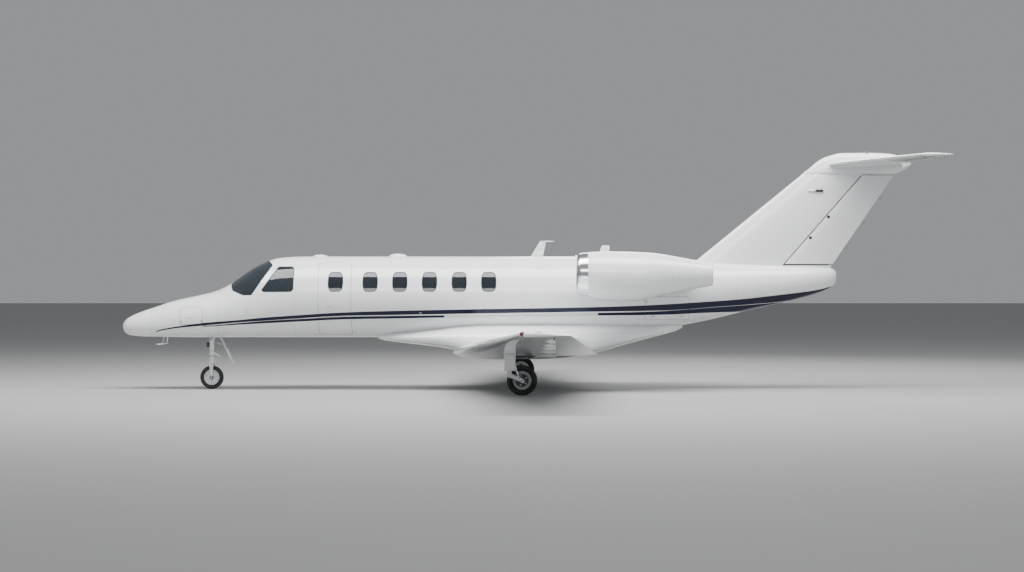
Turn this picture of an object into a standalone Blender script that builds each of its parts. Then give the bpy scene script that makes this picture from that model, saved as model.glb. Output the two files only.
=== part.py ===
"""Twin-engine T-tail business jet, parked on its gear.

Metres. X runs aft, Y to starboard, Z up. The origin is on the ground, on the
centre line, half way along the jet. A station is a distance aft of the nose tip.
"""
import math

import bmesh
import bpy
import numpy as np
from mathutils import Matrix, Vector
from mathutils.bvhtree import BVHTree

# Whole jet
LENGTH = 15.59
SPAN = 16.26
SEAT_GAP = 0.0003
DOOR_GAP = 0.006
# A baggage door's hinge line: distance below the door's upper edge and outside its skin
KNUCKLE_INSET = 0.004
KNUCKLE_OUT = 0.003
RING_POINTS = 32
SMALL_RING_POINTS = 24

# Fuselage
CABIN_RADIUS = 0.79
CABIN_Z = 1.80
CABIN_WALL = 0.06
NOSE_WALL = 0.04
RADOME_END = 0.60
NOSE_END = 1.93
CABIN_END = 8.95
AFT_END = 11.95
BULKHEAD = 0.04
NOSE_BAY_FLOOR = 1.225
NOSE_LEG_TOP = 1.19

# One row for each section of the fuselage:
# station, bottom, top, half width, height of the widest point, lower corner power
FUSELAGE = (
    (0.000, 1.200, 1.240, 0.022, 1.220, 2.00),
    (0.020, 1.145, 1.296, 0.078, 1.219, 2.00),
    (0.059, 1.092, 1.349, 0.132, 1.217, 2.05),
    (0.176, 1.046, 1.427, 0.212, 1.217, 2.15),
    (0.410, 1.026, 1.525, 0.302, 1.228, 2.30),
    (0.645, 1.020, 1.603, 0.366, 1.248, 2.40),
    (1.000, 1.015, 1.720, 0.448, 1.292, 2.50),
    (1.350, 1.010, 1.800, 0.520, 1.346, 2.50),
    (1.700, 1.010, 1.877, 0.582, 1.402, 2.45),
    (1.880, 1.010, 1.935, 0.610, 1.432, 2.40),
    (2.110, 1.010, 2.053, 0.644, 1.482, 2.35),
    (2.287, 1.010, 2.170, 0.668, 1.524, 2.30),
    (2.678, 1.010, 2.424, 0.716, 1.622, 2.20),
    (3.070, 1.010, 2.561, 0.753, 1.706, 2.10),
    (3.460, 1.010, 2.586, 0.778, 1.768, 2.03),
    (3.750, 1.010, 2.590, 0.790, 1.800, 2.00),
    (8.500, 1.010, 2.590, 0.790, 1.800, 2.00),
    (9.300, 1.040, 2.586, 0.780, 1.815, 2.00),
    (10.300, 1.150, 2.535, 0.705, 1.860, 2.00),
    (11.280, 1.316, 2.483, 0.560, 1.920, 2.00),
    (12.280, 1.550, 2.440, 0.420, 2.020, 2.00),
    (12.980, 1.705, 2.408, 0.320, 2.080, 2.00),
    (13.530, 1.857, 2.382, 0.232, 2.140, 2.00),
    (13.860, 2.000, 2.350, 0.160, 2.190, 2.00),
    (13.925, 2.070, 2.310, 0.110, 2.195, 2.00),
)

# The fairing under the wing's middle and the bullet fairing on the fin, in the same columns
FAIRING = (
    (5.000, 0.985, 1.060, 0.240, 1.020, 2.4),
    (5.150, 0.946, 1.105, 0.420, 1.020, 2.6),
    (5.600, 0.892, 1.155, 0.620, 1.010, 2.8),
    (6.200, 0.822, 1.240, 0.800, 1.000, 3.0),
    (6.600, 0.745, 1.305, 0.890, 0.960, 3.2),
    (7.100, 0.640, 1.350, 0.940, 0.920, 3.4),
    (8.000, 0.590, 1.360, 0.950, 0.900, 3.4),
    (8.700, 0.620, 1.350, 0.945, 0.910, 3.4),
    (9.250, 0.725, 1.330, 0.920, 0.960, 3.2),
    (9.780, 0.870, 1.290, 0.800, 1.020, 2.8),
    (10.300, 1.005, 1.260, 0.600, 1.090, 2.6),
    (10.780, 1.128, 1.280, 0.260, 1.190, 2.4),
)
BULLET = (
    (13.290, 4.120, 4.215, 0.020, 4.205, 2.0),
    (13.400, 4.120, 4.292, 0.052, 4.210, 2.0),
    (13.627, 4.110, 4.477, 0.088, 4.230, 2.0),
    (13.820, 4.090, 4.555, 0.106, 4.260, 2.0),
    (14.040, 4.080, 4.606, 0.120, 4.290, 2.0),
    (14.600, 4.080, 4.612, 0.125, 4.300, 2.0),
    (15.000, 4.100, 4.590, 0.112, 4.320, 2.0),
    (15.280, 4.150, 4.530, 0.070, 4.340, 2.0),
    (15.400, 4.260, 4.450, 0.030, 4.355, 2.0),
)

# Glazing, by station and height
WINDOW_STATIONS = (4.883, 5.451, 6.021, 6.592, 7.158)
DOOR_WINDOW_STATION = 4.217
WINDOW_Z = 2.09
WINDOW_WIDTH = 0.285
WINDOW_HEIGHT = 0.385
WINDOW_POWER = 3.0
WINDSHIELD = ((2.140, 2.050), (2.205, 1.915), (2.425, 1.828), (2.595, 1.828), (2.985, 2.420), (2.800, 2.560))
SIDE_WINDOW = ((2.778, 1.930), (2.823, 1.890), (3.365, 1.893), (3.412, 1.940), (3.412, 2.345), (3.370, 2.390),
               (3.095, 2.390))
WINDSHIELD_POST = 0.030
PANE_DEPTH = 0.004
PANE_THICK = 0.022

# Cabin door
DOOR_FRONT = 3.885
DOOR_REAR = 4.515
DOOR_LOW_ANGLE = -67.5
DOOR_HIGH_ANGLE = 56.25
FLOOR_TOP = 1.21

# Seats: boxes of one that faces forward or aft, as reach towards its front, reach outwards, heights and bevel
SEAT_BOXES = (
    ((-0.22, 0.24), (-0.225, 0.215), (1.500, 1.640), 0.02),
    ((-0.34, -0.19), (-0.215, 0.160), (1.550, 2.100), 0.02),
    ((-0.36, -0.24), (-0.130, 0.080), (2.060, 2.260), 0.02),
    ((-0.16, 0.14), (-0.150, 0.020), (FLOOR_TOP + 0.012, 1.530), 0.0),
    ((-0.17, 0.16), (-0.245, -0.205), (1.560, 1.800), 0.0),
)
# Station of each cabin seat, and 1 where it looks aft or -1 where it looks forward
CABIN_SEATS = ((4.98, 1), (6.10, -1), (7.05, -1))
CABIN_SEAT_Y = 0.42
CABIN_RAIL = (4.60, 7.30, 0.36)
COCKPIT_SEAT = (3.00, 0.36)
COCKPIT_RAIL = (2.75, 3.20, 0.33)
RAIL_HALF_WIDTH = 0.03
RAIL_HEIGHT = 0.03

# Front and rear station, half width, lower and upper edge
PANEL_BOX = (2.12, 2.46, 0.56, 1.55, 1.86)
PEDESTAL_BOX = (2.40, 2.75, 0.12, FLOOR_TOP + SEAT_GAP, 1.60)
YOKE_BAR = (2.60, 2.63, 0.13, 1.635, 1.67)
YOKE_SHAFT = (2.42, 2.62, 0.015, 1.66)
YOKE_Y = 0.33
DIVIDER_BOX = (8.05, 8.09, 0.80, FLOOR_TOP + SEAT_GAP, 2.60)
DIVIDER_OPENING = (8.00, 8.20, 0.24, FLOOR_TOP - 0.01, 2.30)

# Wing, at the root rib and at the tip
WING_ROOT_Y = 0.90
WING_TIP_Y = SPAN / 2
WING_ROOT = (6.52, 9.23, 0.760, 0.125)
WING_TIP = (7.71, 8.52, 1.250, 0.105)
DIHEDRAL = math.atan2(WING_TIP[2] - WING_ROOT[2], WING_TIP_Y - WING_ROOT_Y)
WING_INCIDENCE = 0.022
WING_CAMBER = 0.016
WING_SPLIT = 0.71
FLAP_SPAN = (1.05, 4.72)
AILERON_SPAN = (4.78, 7.72)
SURFACE_GAP = 0.010
PIN_LENGTH = 0.022
PIN_SIDES = 12
PIN_ROOM = 0.005
WING_PIN_RADIUS = 0.012

# Blade antennas on the roof: station and height of each corner, from the front of the foot round to its rear
ANTENNA_FRONT = ((7.975, 2.575), (8.150, 2.884), (8.270, 2.884), (8.210, 2.575))
ANTENNA_REAR = ((9.290, 2.560), (9.360, 2.806), (9.512, 2.806), (9.505, 2.560))
ANTENNA_THICK = 0.022
# A thin bar lies across the front blade's top: front and rear station, height, radius
ANTENNA_BAR = (8.140, 8.440, 2.884, 0.007)
# Low domes on the roof: middle station, half length, half width, height over the roof
ROOF_DOMES = ((3.860, 0.150, 0.090, 0.022), (5.376, 0.180, 0.120, 0.048))
ROOF_TOP = 2.590

# Tail
FIN_ROOT_Z = 2.30
FIN_TOP_Z = 4.20
FIN_LEAD = ((11.232, 2.528), (13.627, 4.477))
FIN_HINGE = ((12.920, 2.405), (14.350, 4.047))
FIN_TRAIL = ((13.860, 2.424), (15.205, 4.379))
FIN_THICK = 0.095
RUDDER_LOW_Z = 2.442
RUDDER_ROOM = 0.030
RUDDER_HIGH_Z = 4.160
RUDDER_PIN_RADIUS = 0.014
RUDDER_LOW_PIN = 0.065
RUDDER_HIGH_PIN = 0.085
STABILIZER_Z = 4.385
STABILIZER_HALF_SPAN = 3.20
STABILIZER_ROOT = (13.72, 15.20)
STABILIZER_TIP = (14.96, LENGTH)
STABILIZER_THICK = 0.09
STABILIZER_SPLIT = 0.68
ELEVATOR_SPAN = (0.16, 3.10)
ELEVATOR_PIN_RADIUS = 0.008
ELEVATOR_PIN = 0.045

# Engines: station, radius and axis height of the cowl, then of the duct inside it
ENGINE_Y = 1.32
COWL = (
    (8.840, 0.372, 2.235),
    (8.870, 0.392, 2.235),
    (9.000, 0.412, 2.232),
    (9.220, 0.446, 2.212),
    (9.460, 0.463, 2.203),
    (9.720, 0.466, 2.195),
    (9.980, 0.456, 2.197),
    (10.280, 0.422, 2.212),
    (10.520, 0.378, 2.222),
    (11.000, 0.283, 2.228),
    (11.390, 0.215, 2.230),
)
DUCT = (
    (8.838, 0.352, 2.235),
    (8.880, 0.328, 2.235),
    (9.050, 0.312, 2.228),
    (9.300, 0.305, 2.215),
    (9.460, 0.305, 2.210),
    (10.300, 0.300, 2.210),
    (10.700, 0.262, 2.222),
    (11.100, 0.215, 2.228),
    (11.395, 0.192, 2.230),
)
FAN_STATION = 9.42
FAN_RADIUS = 0.293
FAN_HUB_RADIUS = 0.095
FAN_BLADES = 16
FAN_Z = 2.2115
BLOCK_FRONT = 9.56
BLOCK_REAR = 10.45
SHAFT_RADIUS = 0.030
SHAFT_SIDES = 16
# Station and radius of the fan's spinner and hub
SPINNER = (
    (9.180, 0.012),
    (9.200, 0.034),
    (9.250, 0.062),
    (9.310, 0.083),
    (9.350, FAN_HUB_RADIUS),
    (9.510, FAN_HUB_RADIUS),
)
# Station, radius and axis height of the engine's core behind its block
CORE = ((10.430, 0.200, 2.216), (10.900, 0.150, 2.226), (11.180, 0.060, 2.229))
BLADE_LEAN = 52.0
BLADE_HALF_CHORD = 0.055
BLADE_HALF_THICK = 0.0035
BLADE_ROOT = 0.075
# Leading and trailing station, height and thickness
PYLON = (9.35, 11.15, 2.185, 0.075)
PYLON_SPAN = (0.42, 1.16)

# Landing gear
NOSE_WHEEL_STATION = 1.74
NOSE_LEG_RADIUS = 0.050
NOSE_PISTON_RADIUS = 0.032
NOSE_PISTON_LOW = 0.515
NOSE_CYLINDER_LOW = 0.66
NOSE_FORK_TOP = (0.500, 0.560)
NOSE_FORK_HALF_WIDTH = 0.100
NOSE_FORK_INNER = 0.076
# Fork arm seen from the side: distance aft of the wheel's middle, and height
NOSE_FORK_ARM = ((-0.050, 0.54), (0.050, 0.54), (0.028, 0.30), (0.030, 0.20), (-0.030, 0.20), (-0.028, 0.30))
NOSE_AXLE_RADIUS = 0.020
NOSE_TYRE = (0.2285, 0.056, 0.150)
MAIN_WHEEL_STATION = 7.79
MAIN_WHEEL_Y = 2.45
MAIN_TYRE = (0.2795, 0.073, 0.172)
MAIN_LEG_Y = 2.60
MAIN_PIVOT = (7.555, 0.385)
MAIN_LEG_RADIUS = 0.050
TRUNNION_RADIUS = 0.036
CLEVIS_HALF = 0.045
PIVOT_PIN_RADIUS = 0.018
LINK_HALF = 0.022
MAIN_AXLE_RADIUS = 0.030
# Distance of the leg's socket below the wing's middle height
WELL_ROOF = 0.045
# Leg door seen from the side: front and rear edge about the pivot, lower and upper edge
MAIN_GEAR_DOOR = (-0.10, 0.12, 0.46, 0.80)
RAISED_WHEEL_Y = 1.42
WHEEL_WELL_RADIUS = 0.31
WELL_LOW = 0.40
WELL_HIGH = 0.80
WELL_FRONT = -0.11
WELL_REAR = 0.13
# Top and bottom edge of the plate behind the nose leg, by station and height
NOSE_GEAR_DOOR = ((1.900, 1.010 - SEAT_GAP), (2.150, 0.470))
NOSE_DOOR_HALF_WIDTH = 0.115
GEAR_DOOR_THICK = 0.018
WHEEL_STEPS = 24

COLLECTION = "business_jet"
CUTTERS = "cutters"

# name: colour, roughness, metallic
FINISHES = {
    "white_paint": ((0.86, 0.87, 0.88), 0.18, 0.0),
    "polished_metal": ((0.80, 0.81, 0.83), 0.15, 1.0),
    "bare_metal": ((0.55, 0.56, 0.58), 0.35, 1.0),
    "dark_metal": ((0.12, 0.12, 0.13), 0.45, 0.8),
    "glass": ((0.10, 0.12, 0.15), 0.05, 0.0),
    "tyre_rubber": ((0.03, 0.03, 0.03), 0.85, 0.0),
    "leather": ((0.62, 0.55, 0.45), 0.55, 0.0),
    "carpet": ((0.35, 0.32, 0.28), 0.95, 0.0),
    "cabinet": ((0.45, 0.36, 0.27), 0.40, 0.0),
    "panel": ((0.08, 0.08, 0.09), 0.60, 0.0),
    "gear_paint": ((0.78, 0.79, 0.80), 0.35, 0.0),
}


def clear_scene():
    """Empty the file, so that the script can run again in the same window."""
    for old in list(bpy.data.objects):
        bpy.data.objects.remove(old, do_unlink=True)


def collection(name):
    """The collection of that name, made on first use."""
    found = bpy.data.collections.get(name)
    if found is None:
        found = bpy.data.collections.new(name)
        bpy.context.scene.collection.children.link(found)
    return found


def material(name):
    """A Principled material from the FINISHES table."""
    found = bpy.data.materials.get(name)
    if found is None:
        colour, roughness, metallic = FINISHES[name]
        found = bpy.data.materials.new(name)
        found.use_nodes = True
        shader = found.node_tree.nodes["Principled BSDF"]
        shader.inputs["Base Color"].default_value = (*colour, 1.0)
        shader.inputs["Roughness"].default_value = roughness
        shader.inputs["Metallic"].default_value = metallic
    return found


def new_object(name, mesh):
    """An object for a mesh, first kept with the cutters until it is finished."""
    made = bpy.data.objects.new(name, mesh)
    collection(CUTTERS).objects.link(made)
    made.hide_render = True
    made.display_type = "WIRE"
    return made


def part(made, name, finish, pivot=None):
    """Turn a shape into a named piece with its material, its origin on its axis if it moves."""
    made.name = name
    made.data.name = name
    collection(CUTTERS).objects.unlink(made)
    collection(COLLECTION).objects.link(made)
    made.hide_render = False
    made.display_type = "TEXTURED"
    made.data.materials.clear()
    made.data.materials.append(material(finish))
    made.data.shade_smooth()
    made.data.set_sharp_from_angle(angle=math.radians(35))
    if pivot is not None:
        made.data.transform(Matrix.Translation(-Vector(pivot)))
        made.location = pivot
    return made


def bake(made):
    """Replace an object's mesh by its evaluated one, so that later steps can move it."""
    bpy.context.view_layer.update()
    graph = bpy.context.evaluated_depsgraph_get()
    mesh = bpy.data.meshes.new_from_object(made.evaluated_get(graph))
    made.modifiers.clear()
    made.data = mesh
    return made


def is_one_body(mesh):
    """Merge a mesh's doubled points, and tell whether it is one closed body."""
    shape = bmesh.new()
    shape.from_mesh(mesh)
    bmesh.ops.remove_doubles(shape, verts=shape.verts, dist=0.00001)
    shape.verts.ensure_lookup_table()
    reached = set()
    waiting = list(shape.verts[:1])
    while waiting:
        vert = waiting.pop()
        if vert not in reached:
            reached.add(vert)
            waiting.extend(edge.other_vert(vert) for edge in vert.link_edges)
    whole = len(reached) > 0 and len(reached) == len(shape.verts)
    closed = all(edge.is_manifold for edge in shape.edges)
    if closed:
        shape.to_mesh(mesh)
    shape.free()
    return closed and whole


def boolean(made, other, operation):
    """Combine two closed shapes and keep the result on the first."""
    before = made.data
    for solver in ("EXACT", "MANIFOLD"):
        made.data = before
        step = made.modifiers.new("boolean", "BOOLEAN")
        step.operation = operation
        step.solver = solver
        step.object = other
        bake(made)
        if is_one_body(made.data):
            break
    bpy.data.objects.remove(other, do_unlink=True)
    return made


def copy_of(made):
    """A second shape with its own mesh."""
    return new_object(made.name, made.data.copy())


def cut(made, *others):
    """Take each of the other shapes away."""
    for other in others:
        boolean(made, other, "DIFFERENCE")
    return made


def fuse(made, *others):
    """Join each of the other shapes on."""
    for other in others:
        boolean(made, other, "UNION")
    return made


def keep_inside(made, other):
    """Keep only what lies inside the other shape."""
    return boolean(made, other, "INTERSECT")


def from_bmesh(shape, name="shape"):
    """Close a bmesh into an object with its faces pointing out."""
    bmesh.ops.recalc_face_normals(shape, faces=shape.faces)
    if shape.calc_volume(signed=True) < 0:
        bmesh.ops.reverse_faces(shape, faces=shape.faces)
    mesh = bpy.data.meshes.new(name)
    shape.to_mesh(mesh)
    shape.free()
    return new_object(name, mesh)


def box(low, high, bevel=0.0):
    """A box between two corners."""
    low = Vector(low)
    high = Vector(high)
    shape = bmesh.new()
    bmesh.ops.create_cube(shape, size=1.0)
    size = high - low
    bmesh.ops.scale(shape, vec=size, verts=shape.verts)
    bmesh.ops.translate(shape, vec=(low + high) / 2, verts=shape.verts)
    if bevel > 0:
        bmesh.ops.bevel(shape, geom=shape.edges, offset=bevel, segments=1, affect="EDGES")
    return from_bmesh(shape)


def rod(start, end, radius, end_radius=None, sides=16):
    """A round bar, or a cone if its end has another radius."""
    start = Vector(start)
    end = Vector(end)
    run = end - start
    shape = bmesh.new()
    bmesh.ops.create_cone(shape, cap_ends=True, segments=sides, radius1=radius,
                          radius2=radius if end_radius is None else end_radius, depth=run.length)
    turn = run.to_track_quat("Z", "Y").to_matrix().to_4x4()
    bmesh.ops.transform(shape, matrix=Matrix.Translation((start + end) / 2) @ turn, verts=shape.verts)
    return from_bmesh(shape)


def socket(radius, sides):
    """Radius of a many-sided hole in which a round pin of a radius turns freely."""
    return radius / math.cos(math.pi / sides) + SEAT_GAP


def skin_between(shape, corners):
    """A face over four corners, or two faces split along the shorter diagonal if it isn't flat."""
    a, b, c, d = (corner.co for corner in corners)
    normal = (c - a).cross(d - b)
    bend = abs((b - a).dot(normal)) / max(normal.length, 1e-12)
    if bend < 0.00001:
        shape.faces.new(corners)
        return
    p, q, r, s = corners
    if (c - a).length <= (d - b).length:
        pieces = ((p, q, r), (p, r, s))
    else:
        pieces = ((q, r, s), (q, s, p))
    for piece in pieces:
        shape.faces.new(piece)


def loft(rings):
    """Skin a list of rings, each an array of points, and close both ends."""
    shape = bmesh.new()
    rows = [[shape.verts.new(tuple(point)) for point in ring] for ring in rings]
    count = len(rows[0])
    for before, after in zip(rows, rows[1:]):
        for i in range(count):
            j = (i + 1) % count
            skin_between(shape, (before[i], before[j], after[j], after[i]))
    shape.faces.new(rows[0])
    shape.faces.new(rows[-1])
    return from_bmesh(shape)


def prism(outline, axis, low, high):
    """Extrude a flat outline of X and Z along axis 1, or one of X and Y along axis 2."""
    def place(u, v, w):
        return (u, w, v) if axis == 1 else (u, v, w)
    return loft([[place(u, v, w) for u, v in outline] for w in (low, high)])


def x_of(station):
    """X of a station."""
    return station - LENGTH / 2


def in_x(outline):
    """An outline given by station and height, as X and Z."""
    return [(x_of(station), height) for station, height in outline]


def between(table, station):
    """A row of a table at any station, each column on a smooth curve that never overshoots its rows."""
    rows = np.array(table, float)
    xs = rows[:, 0]
    steps = np.diff(xs)
    slopes = np.diff(rows, axis=0) / steps[:, None]
    before = slopes[:-1]
    after = slopes[1:]
    same = before * after > 0
    inner = np.where(same, 2 * before * after / np.where(same, before + after, 1.0), 0.0)
    tangents = np.vstack([slopes[0], inner, slopes[-1]])
    i = int(np.clip(np.searchsorted(xs, station, side="right") - 1, 0, len(xs) - 2))
    t = (station - xs[i]) / steps[i]
    h = steps[i]
    return ((2 * t**3 - 3 * t**2 + 1) * rows[i] + (t**3 - 2 * t**2 + t) * h * tangents[i]
            + (3 * t**2 - 2 * t**3) * rows[i + 1] + (t**3 - t**2) * h * tangents[i + 1])


def stations_between(table, start, end):
    """The table's own stations and the joints between pieces inside a stretch, with both ends."""
    joints = (RADOME_END, NOSE_END, CABIN_END, AFT_END)
    inside = [s for s in (*(row[0] for row in table), *joints) if start + 0.01 < s < end - 0.01]
    return sorted({start, end, *inside})


def body_ring(row, shrink=0.0, points=RING_POINTS):
    """A section of the fuselage: an ellipse above the widest point, a squarer one below it."""
    station, bottom, top, half_width, widest, corner = row
    angle = np.linspace(0, 2 * math.pi, points, endpoint=False)
    across = np.cos(angle)
    up = np.sin(angle)
    power = np.where(up < -1e-9, 2.0 / corner, 1.0)
    y = (half_width - shrink) * np.sign(across) * np.abs(across) ** power
    reach = np.where(up >= 0, top - widest - shrink, widest - bottom - shrink)
    z = widest + reach * np.sign(up) * np.abs(up) ** power
    return np.column_stack([np.full_like(y, x_of(station)), y, z])


def body(start, end, shrink=0.0):
    """A closed solid of the fuselage between two stations, drawn in by shrink."""
    rings = [body_ring(between(FUSELAGE, s), shrink) for s in stations_between(FUSELAGE, start, end)]
    return loft(rings)


def superellipse(centre_u, centre_v, half_u, half_v, power, count=12):
    """A rounded outline with bulging sides."""
    angle = np.linspace(0, 2 * math.pi, count, endpoint=False) + math.pi / count
    u = centre_u + half_u * np.sign(np.cos(angle)) * np.abs(np.cos(angle)) ** (2 / power)
    v = centre_v + half_v * np.sign(np.sin(angle)) * np.abs(np.sin(angle)) ** (2 / power)
    return list(zip(u, v))


def drawn_in(outline, distance):
    """An outline whose corners are drawn towards its middle."""
    points = np.array(outline)
    middle = points.mean(axis=0)
    reach = points - middle
    length = np.linalg.norm(reach, axis=1, keepdims=True)
    return [tuple(p) for p in middle + reach * (1 - distance / length)]


def window_outline(station, inset=0.0):
    """Outline of a cabin window."""
    half_width = WINDOW_WIDTH / 2 - inset
    half_height = WINDOW_HEIGHT / 2 - inset
    return superellipse(x_of(station), WINDOW_Z, half_width, half_height, WINDOW_POWER)


def side_prism(outline, side, inner=0.40, outer=1.0):
    """A prism through one side of the fuselage."""
    return prism(outline, 1, side * inner, side * outer)


def cabin_patch(front, rear, low_angle, high_angle, outer, inner, side, steps=12):
    """A piece of the cabin's round wall: between two stations, two angles above level and two radii."""
    angles = np.radians(np.linspace(low_angle, high_angle, steps + 1))
    rim = [(outer, a) for a in angles] + [(inner, a) for a in angles[::-1]]
    section = [(side * r * math.cos(a), CABIN_Z + r * math.sin(a)) for r, a in rim]
    return loft([[(x_of(s), y, z) for y, z in section] for s in (front, rear)])


def airfoil(thick, camber=0.0, count=13, tail=0.0025):
    """Unit airfoil from the tail over the top to the nose and back, as chord fraction and height."""
    u = (1 - np.cos(np.linspace(0, math.pi, count))) / 2
    half = 5 * thick * (0.2969 * np.sqrt(u) - 0.1260 * u - 0.3516 * u**2 + 0.2843 * u**3 - 0.1036 * u**4)
    half = half + tail * u
    line = 4 * camber * u * (1 - u)
    top = np.column_stack([u, line + half])[::-1]
    low = np.column_stack([u, line - half])[1:]
    return np.vstack([top, low])


def wing_row(y):
    """Leading and trailing station, height and thickness of the wing at a distance from the centre line."""
    t = (y - WING_ROOT_Y) / (WING_TIP_Y - WING_ROOT_Y)
    return [a + (b - a) * t for a, b in zip(WING_ROOT, WING_TIP)]


def wing_point(y, fraction, height, side):
    """A point of the wing, from its chord fraction and its height over the chord line in metres."""
    lead, trail, z, _ = wing_row(y)
    chord = trail - lead
    lift = height - WING_INCIDENCE * chord * (fraction - 0.25)
    out = y - lift * math.sin(DIHEDRAL)
    return (x_of(lead + chord * fraction), side * out, z + lift * math.cos(DIHEDRAL))


def wing_ring(y, side, scale=1.0):
    """A section of the wing, square to its dihedral."""
    lead, trail, _, thick = wing_row(y)
    chord = trail - lead
    return [wing_point(y, 0.5 + (u - 0.5) * scale, v * chord * scale, side)
            for u, v in airfoil(thick, WING_CAMBER)]


def wing_half(y, fraction):
    """Half the wing's depth at a chord fraction, and the height of its middle there."""
    lead, trail, _, thick = wing_row(y)
    chord = trail - lead
    section = airfoil(thick, WING_CAMBER, 41)
    count = len(section) // 2 + 1
    top = np.interp(fraction, section[:count, 0][::-1], section[:count, 1][::-1]) * chord
    low = np.interp(fraction, section[count - 1:, 0], section[count - 1:, 1]) * chord
    return (top - low) / 2, (top + low) / 2


def wing_surface_ring(y, side):
    """A section of a flap or aileron: a round nose about its hinge, then straight to the trailing edge."""
    lead, trail, _, _ = wing_row(y)
    chord = trail - lead
    half, middle = wing_half(y, WING_SPLIT)
    nose = half * 0.96
    angles = np.radians(np.linspace(100, 260, 9))
    rim = [(WING_SPLIT + nose * math.cos(a) / chord, middle + nose * math.sin(a)) for a in angles]
    for u in (0.80, 0.90, 1.0):
        half_here, middle_here = wing_half(y, u)
        rim.append((u, middle_here - half_here))
    for u in (1.0, 0.90, 0.80):
        half_here, middle_here = wing_half(y, u)
        rim.append((u, middle_here + half_here))
    return [wing_point(y, u, v, side) for u, v in rim]


def wing_hinge(y, side):
    """A point on the hinge line of the flap and aileron."""
    _, middle = wing_half(y, WING_SPLIT)
    return Vector(wing_point(y, WING_SPLIT, middle, side))


def wing_bay(span, side):
    """The space that a flap or aileron moves in, cut out of the wing."""
    rings = []
    for y in (span[0] - SURFACE_GAP, span[1] + SURFACE_GAP):
        lead, trail, _, _ = wing_row(y)
        chord = trail - lead
        half, _ = wing_half(y, WING_SPLIT)
        front = WING_SPLIT - (half + SURFACE_GAP) / chord
        rings.append([wing_point(y, front, -0.3, side), wing_point(y, 1.1, -0.3, side),
                      wing_point(y, 1.1, 0.3, side), wing_point(y, front, 0.3, side)])
    return loft(rings)


def hinge_pins(start, end, radius):
    """Two short pins on a hinge line, beyond the ends of the surface that turns on it."""
    run = (end - start).normalized()
    return [rod(start + run * PIN_LENGTH, start - run * PIN_LENGTH, radius, sides=PIN_SIDES),
            rod(end - run * PIN_LENGTH, end + run * PIN_LENGTH, radius, sides=PIN_SIDES)]


def wing_surface(name, span, side, others):
    """A flap or aileron on its hinge, with the sockets for its pins cut in the wing."""
    made = loft([wing_surface_ring(y, side) for y in span])
    start = wing_hinge(span[0], side)
    end = wing_hinge(span[1], side)
    fuse(made, *hinge_pins(start, end, WING_PIN_RADIUS))
    others.append(wing_bay(span, side))
    run = (end - start).normalized() * (PIN_LENGTH + PIN_ROOM)
    hole = socket(WING_PIN_RADIUS, PIN_SIDES)
    others.append(rod(start, start - run, hole, sides=PIN_SIDES))
    others.append(rod(end, end + run, hole, sides=PIN_SIDES))
    return part(made, name, "white_paint", tuple((start + end) / 2))


def fairing_solid(grow=0.0):
    """The fairing that wraps the wing's middle below the cabin."""
    return loft([body_ring(row, -grow, SMALL_RING_POINTS) for row in FAIRING])


def main_well(side):
    """The space in the wing and fairing that takes a main wheel and its leg."""
    y = MAIN_LEG_Y
    wheel_y = RAISED_WHEEL_Y
    _, _, z, _ = wing_row(y)
    x = x_of(MAIN_WHEEL_STATION) - 0.02
    wheel = rod((x, side * wheel_y, WELL_LOW), (x, side * wheel_y, WELL_HIGH), WHEEL_WELL_RADIUS, sides=24)
    low_y, high_y = sorted((side * wheel_y, side * (y + 0.10)))
    pivot_x = x_of(MAIN_PIVOT[0])
    slot = box((pivot_x + WELL_FRONT, low_y, WELL_LOW), (pivot_x + WELL_REAR, high_y, z - WELL_ROOF))
    return [wheel, slot]


def build_fuselage():
    """Radome, nose, cabin and aft fuselage, each hollow, and the solid tail cone."""
    part(body(0.0, RADOME_END - SEAT_GAP), "radome", "white_paint")

    nose = body(RADOME_END, NOSE_END - SEAT_GAP)
    bay = body(1.10, NOSE_END - BULKHEAD, NOSE_WALL)
    keep_inside(bay, box((x_of(1.05), -1, NOSE_BAY_FLOOR), (x_of(NOSE_END), 1, 2.2)))
    cut(nose, bay, box((x_of(1.50), -0.12, 0.9), (x_of(1.90), 0.12, NOSE_LEG_TOP)))

    cabin = body(NOSE_END, CABIN_END - SEAT_GAP)
    cut(cabin, body(NOSE_END + 0.05, CABIN_END + 0.1, CABIN_WALL))

    aft = body(CABIN_END, AFT_END - SEAT_GAP)
    cut(aft, body(CABIN_END + BULKHEAD, AFT_END - BULKHEAD, 0.05))

    tail = body(AFT_END, 13.925)
    return nose, cabin, aft, tail


def build_wings(fairing):
    """Both wings with their flaps and ailerons."""
    for side, hand in ((-1, "port"), (1, "starboard")):
        sections = [wing_ring(y, side) for y in (0.60, 4.75, 7.90, 8.03)]
        tip = np.array(wing_ring(8.10, side, 0.90))
        end = np.array(wing_ring(WING_TIP_Y, side, 0.62))
        end[:, 1] = side * WING_TIP_Y
        wing = loft([*sections, tip, end])
        others = [fairing_solid(SEAT_GAP)]
        wing_surface(f"flap_{hand}", FLAP_SPAN, side, others)
        wing_surface(f"aileron_{hand}", AILERON_SPAN, side, others)
        cut(wing, *others, *main_well(side))
        part(wing, f"wing_{hand}", "white_paint")
        for well in main_well(side):
            cut(fairing, well)


def fin_at(line, z):
    """Station of a line of the fin at a height."""
    (s0, z0), (s1, z1) = line
    return s0 + (s1 - s0) * (z - z0) / (z1 - z0)


def fin_section(z, count=13):
    """A level section of the whole fin and rudder."""
    lead = fin_at(FIN_LEAD, z)
    chord = fin_at(FIN_TRAIL, z) - lead
    return [(x_of(lead + chord * u), v * chord, z) for u, v in airfoil(FIN_THICK, 0.0, count)]


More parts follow.
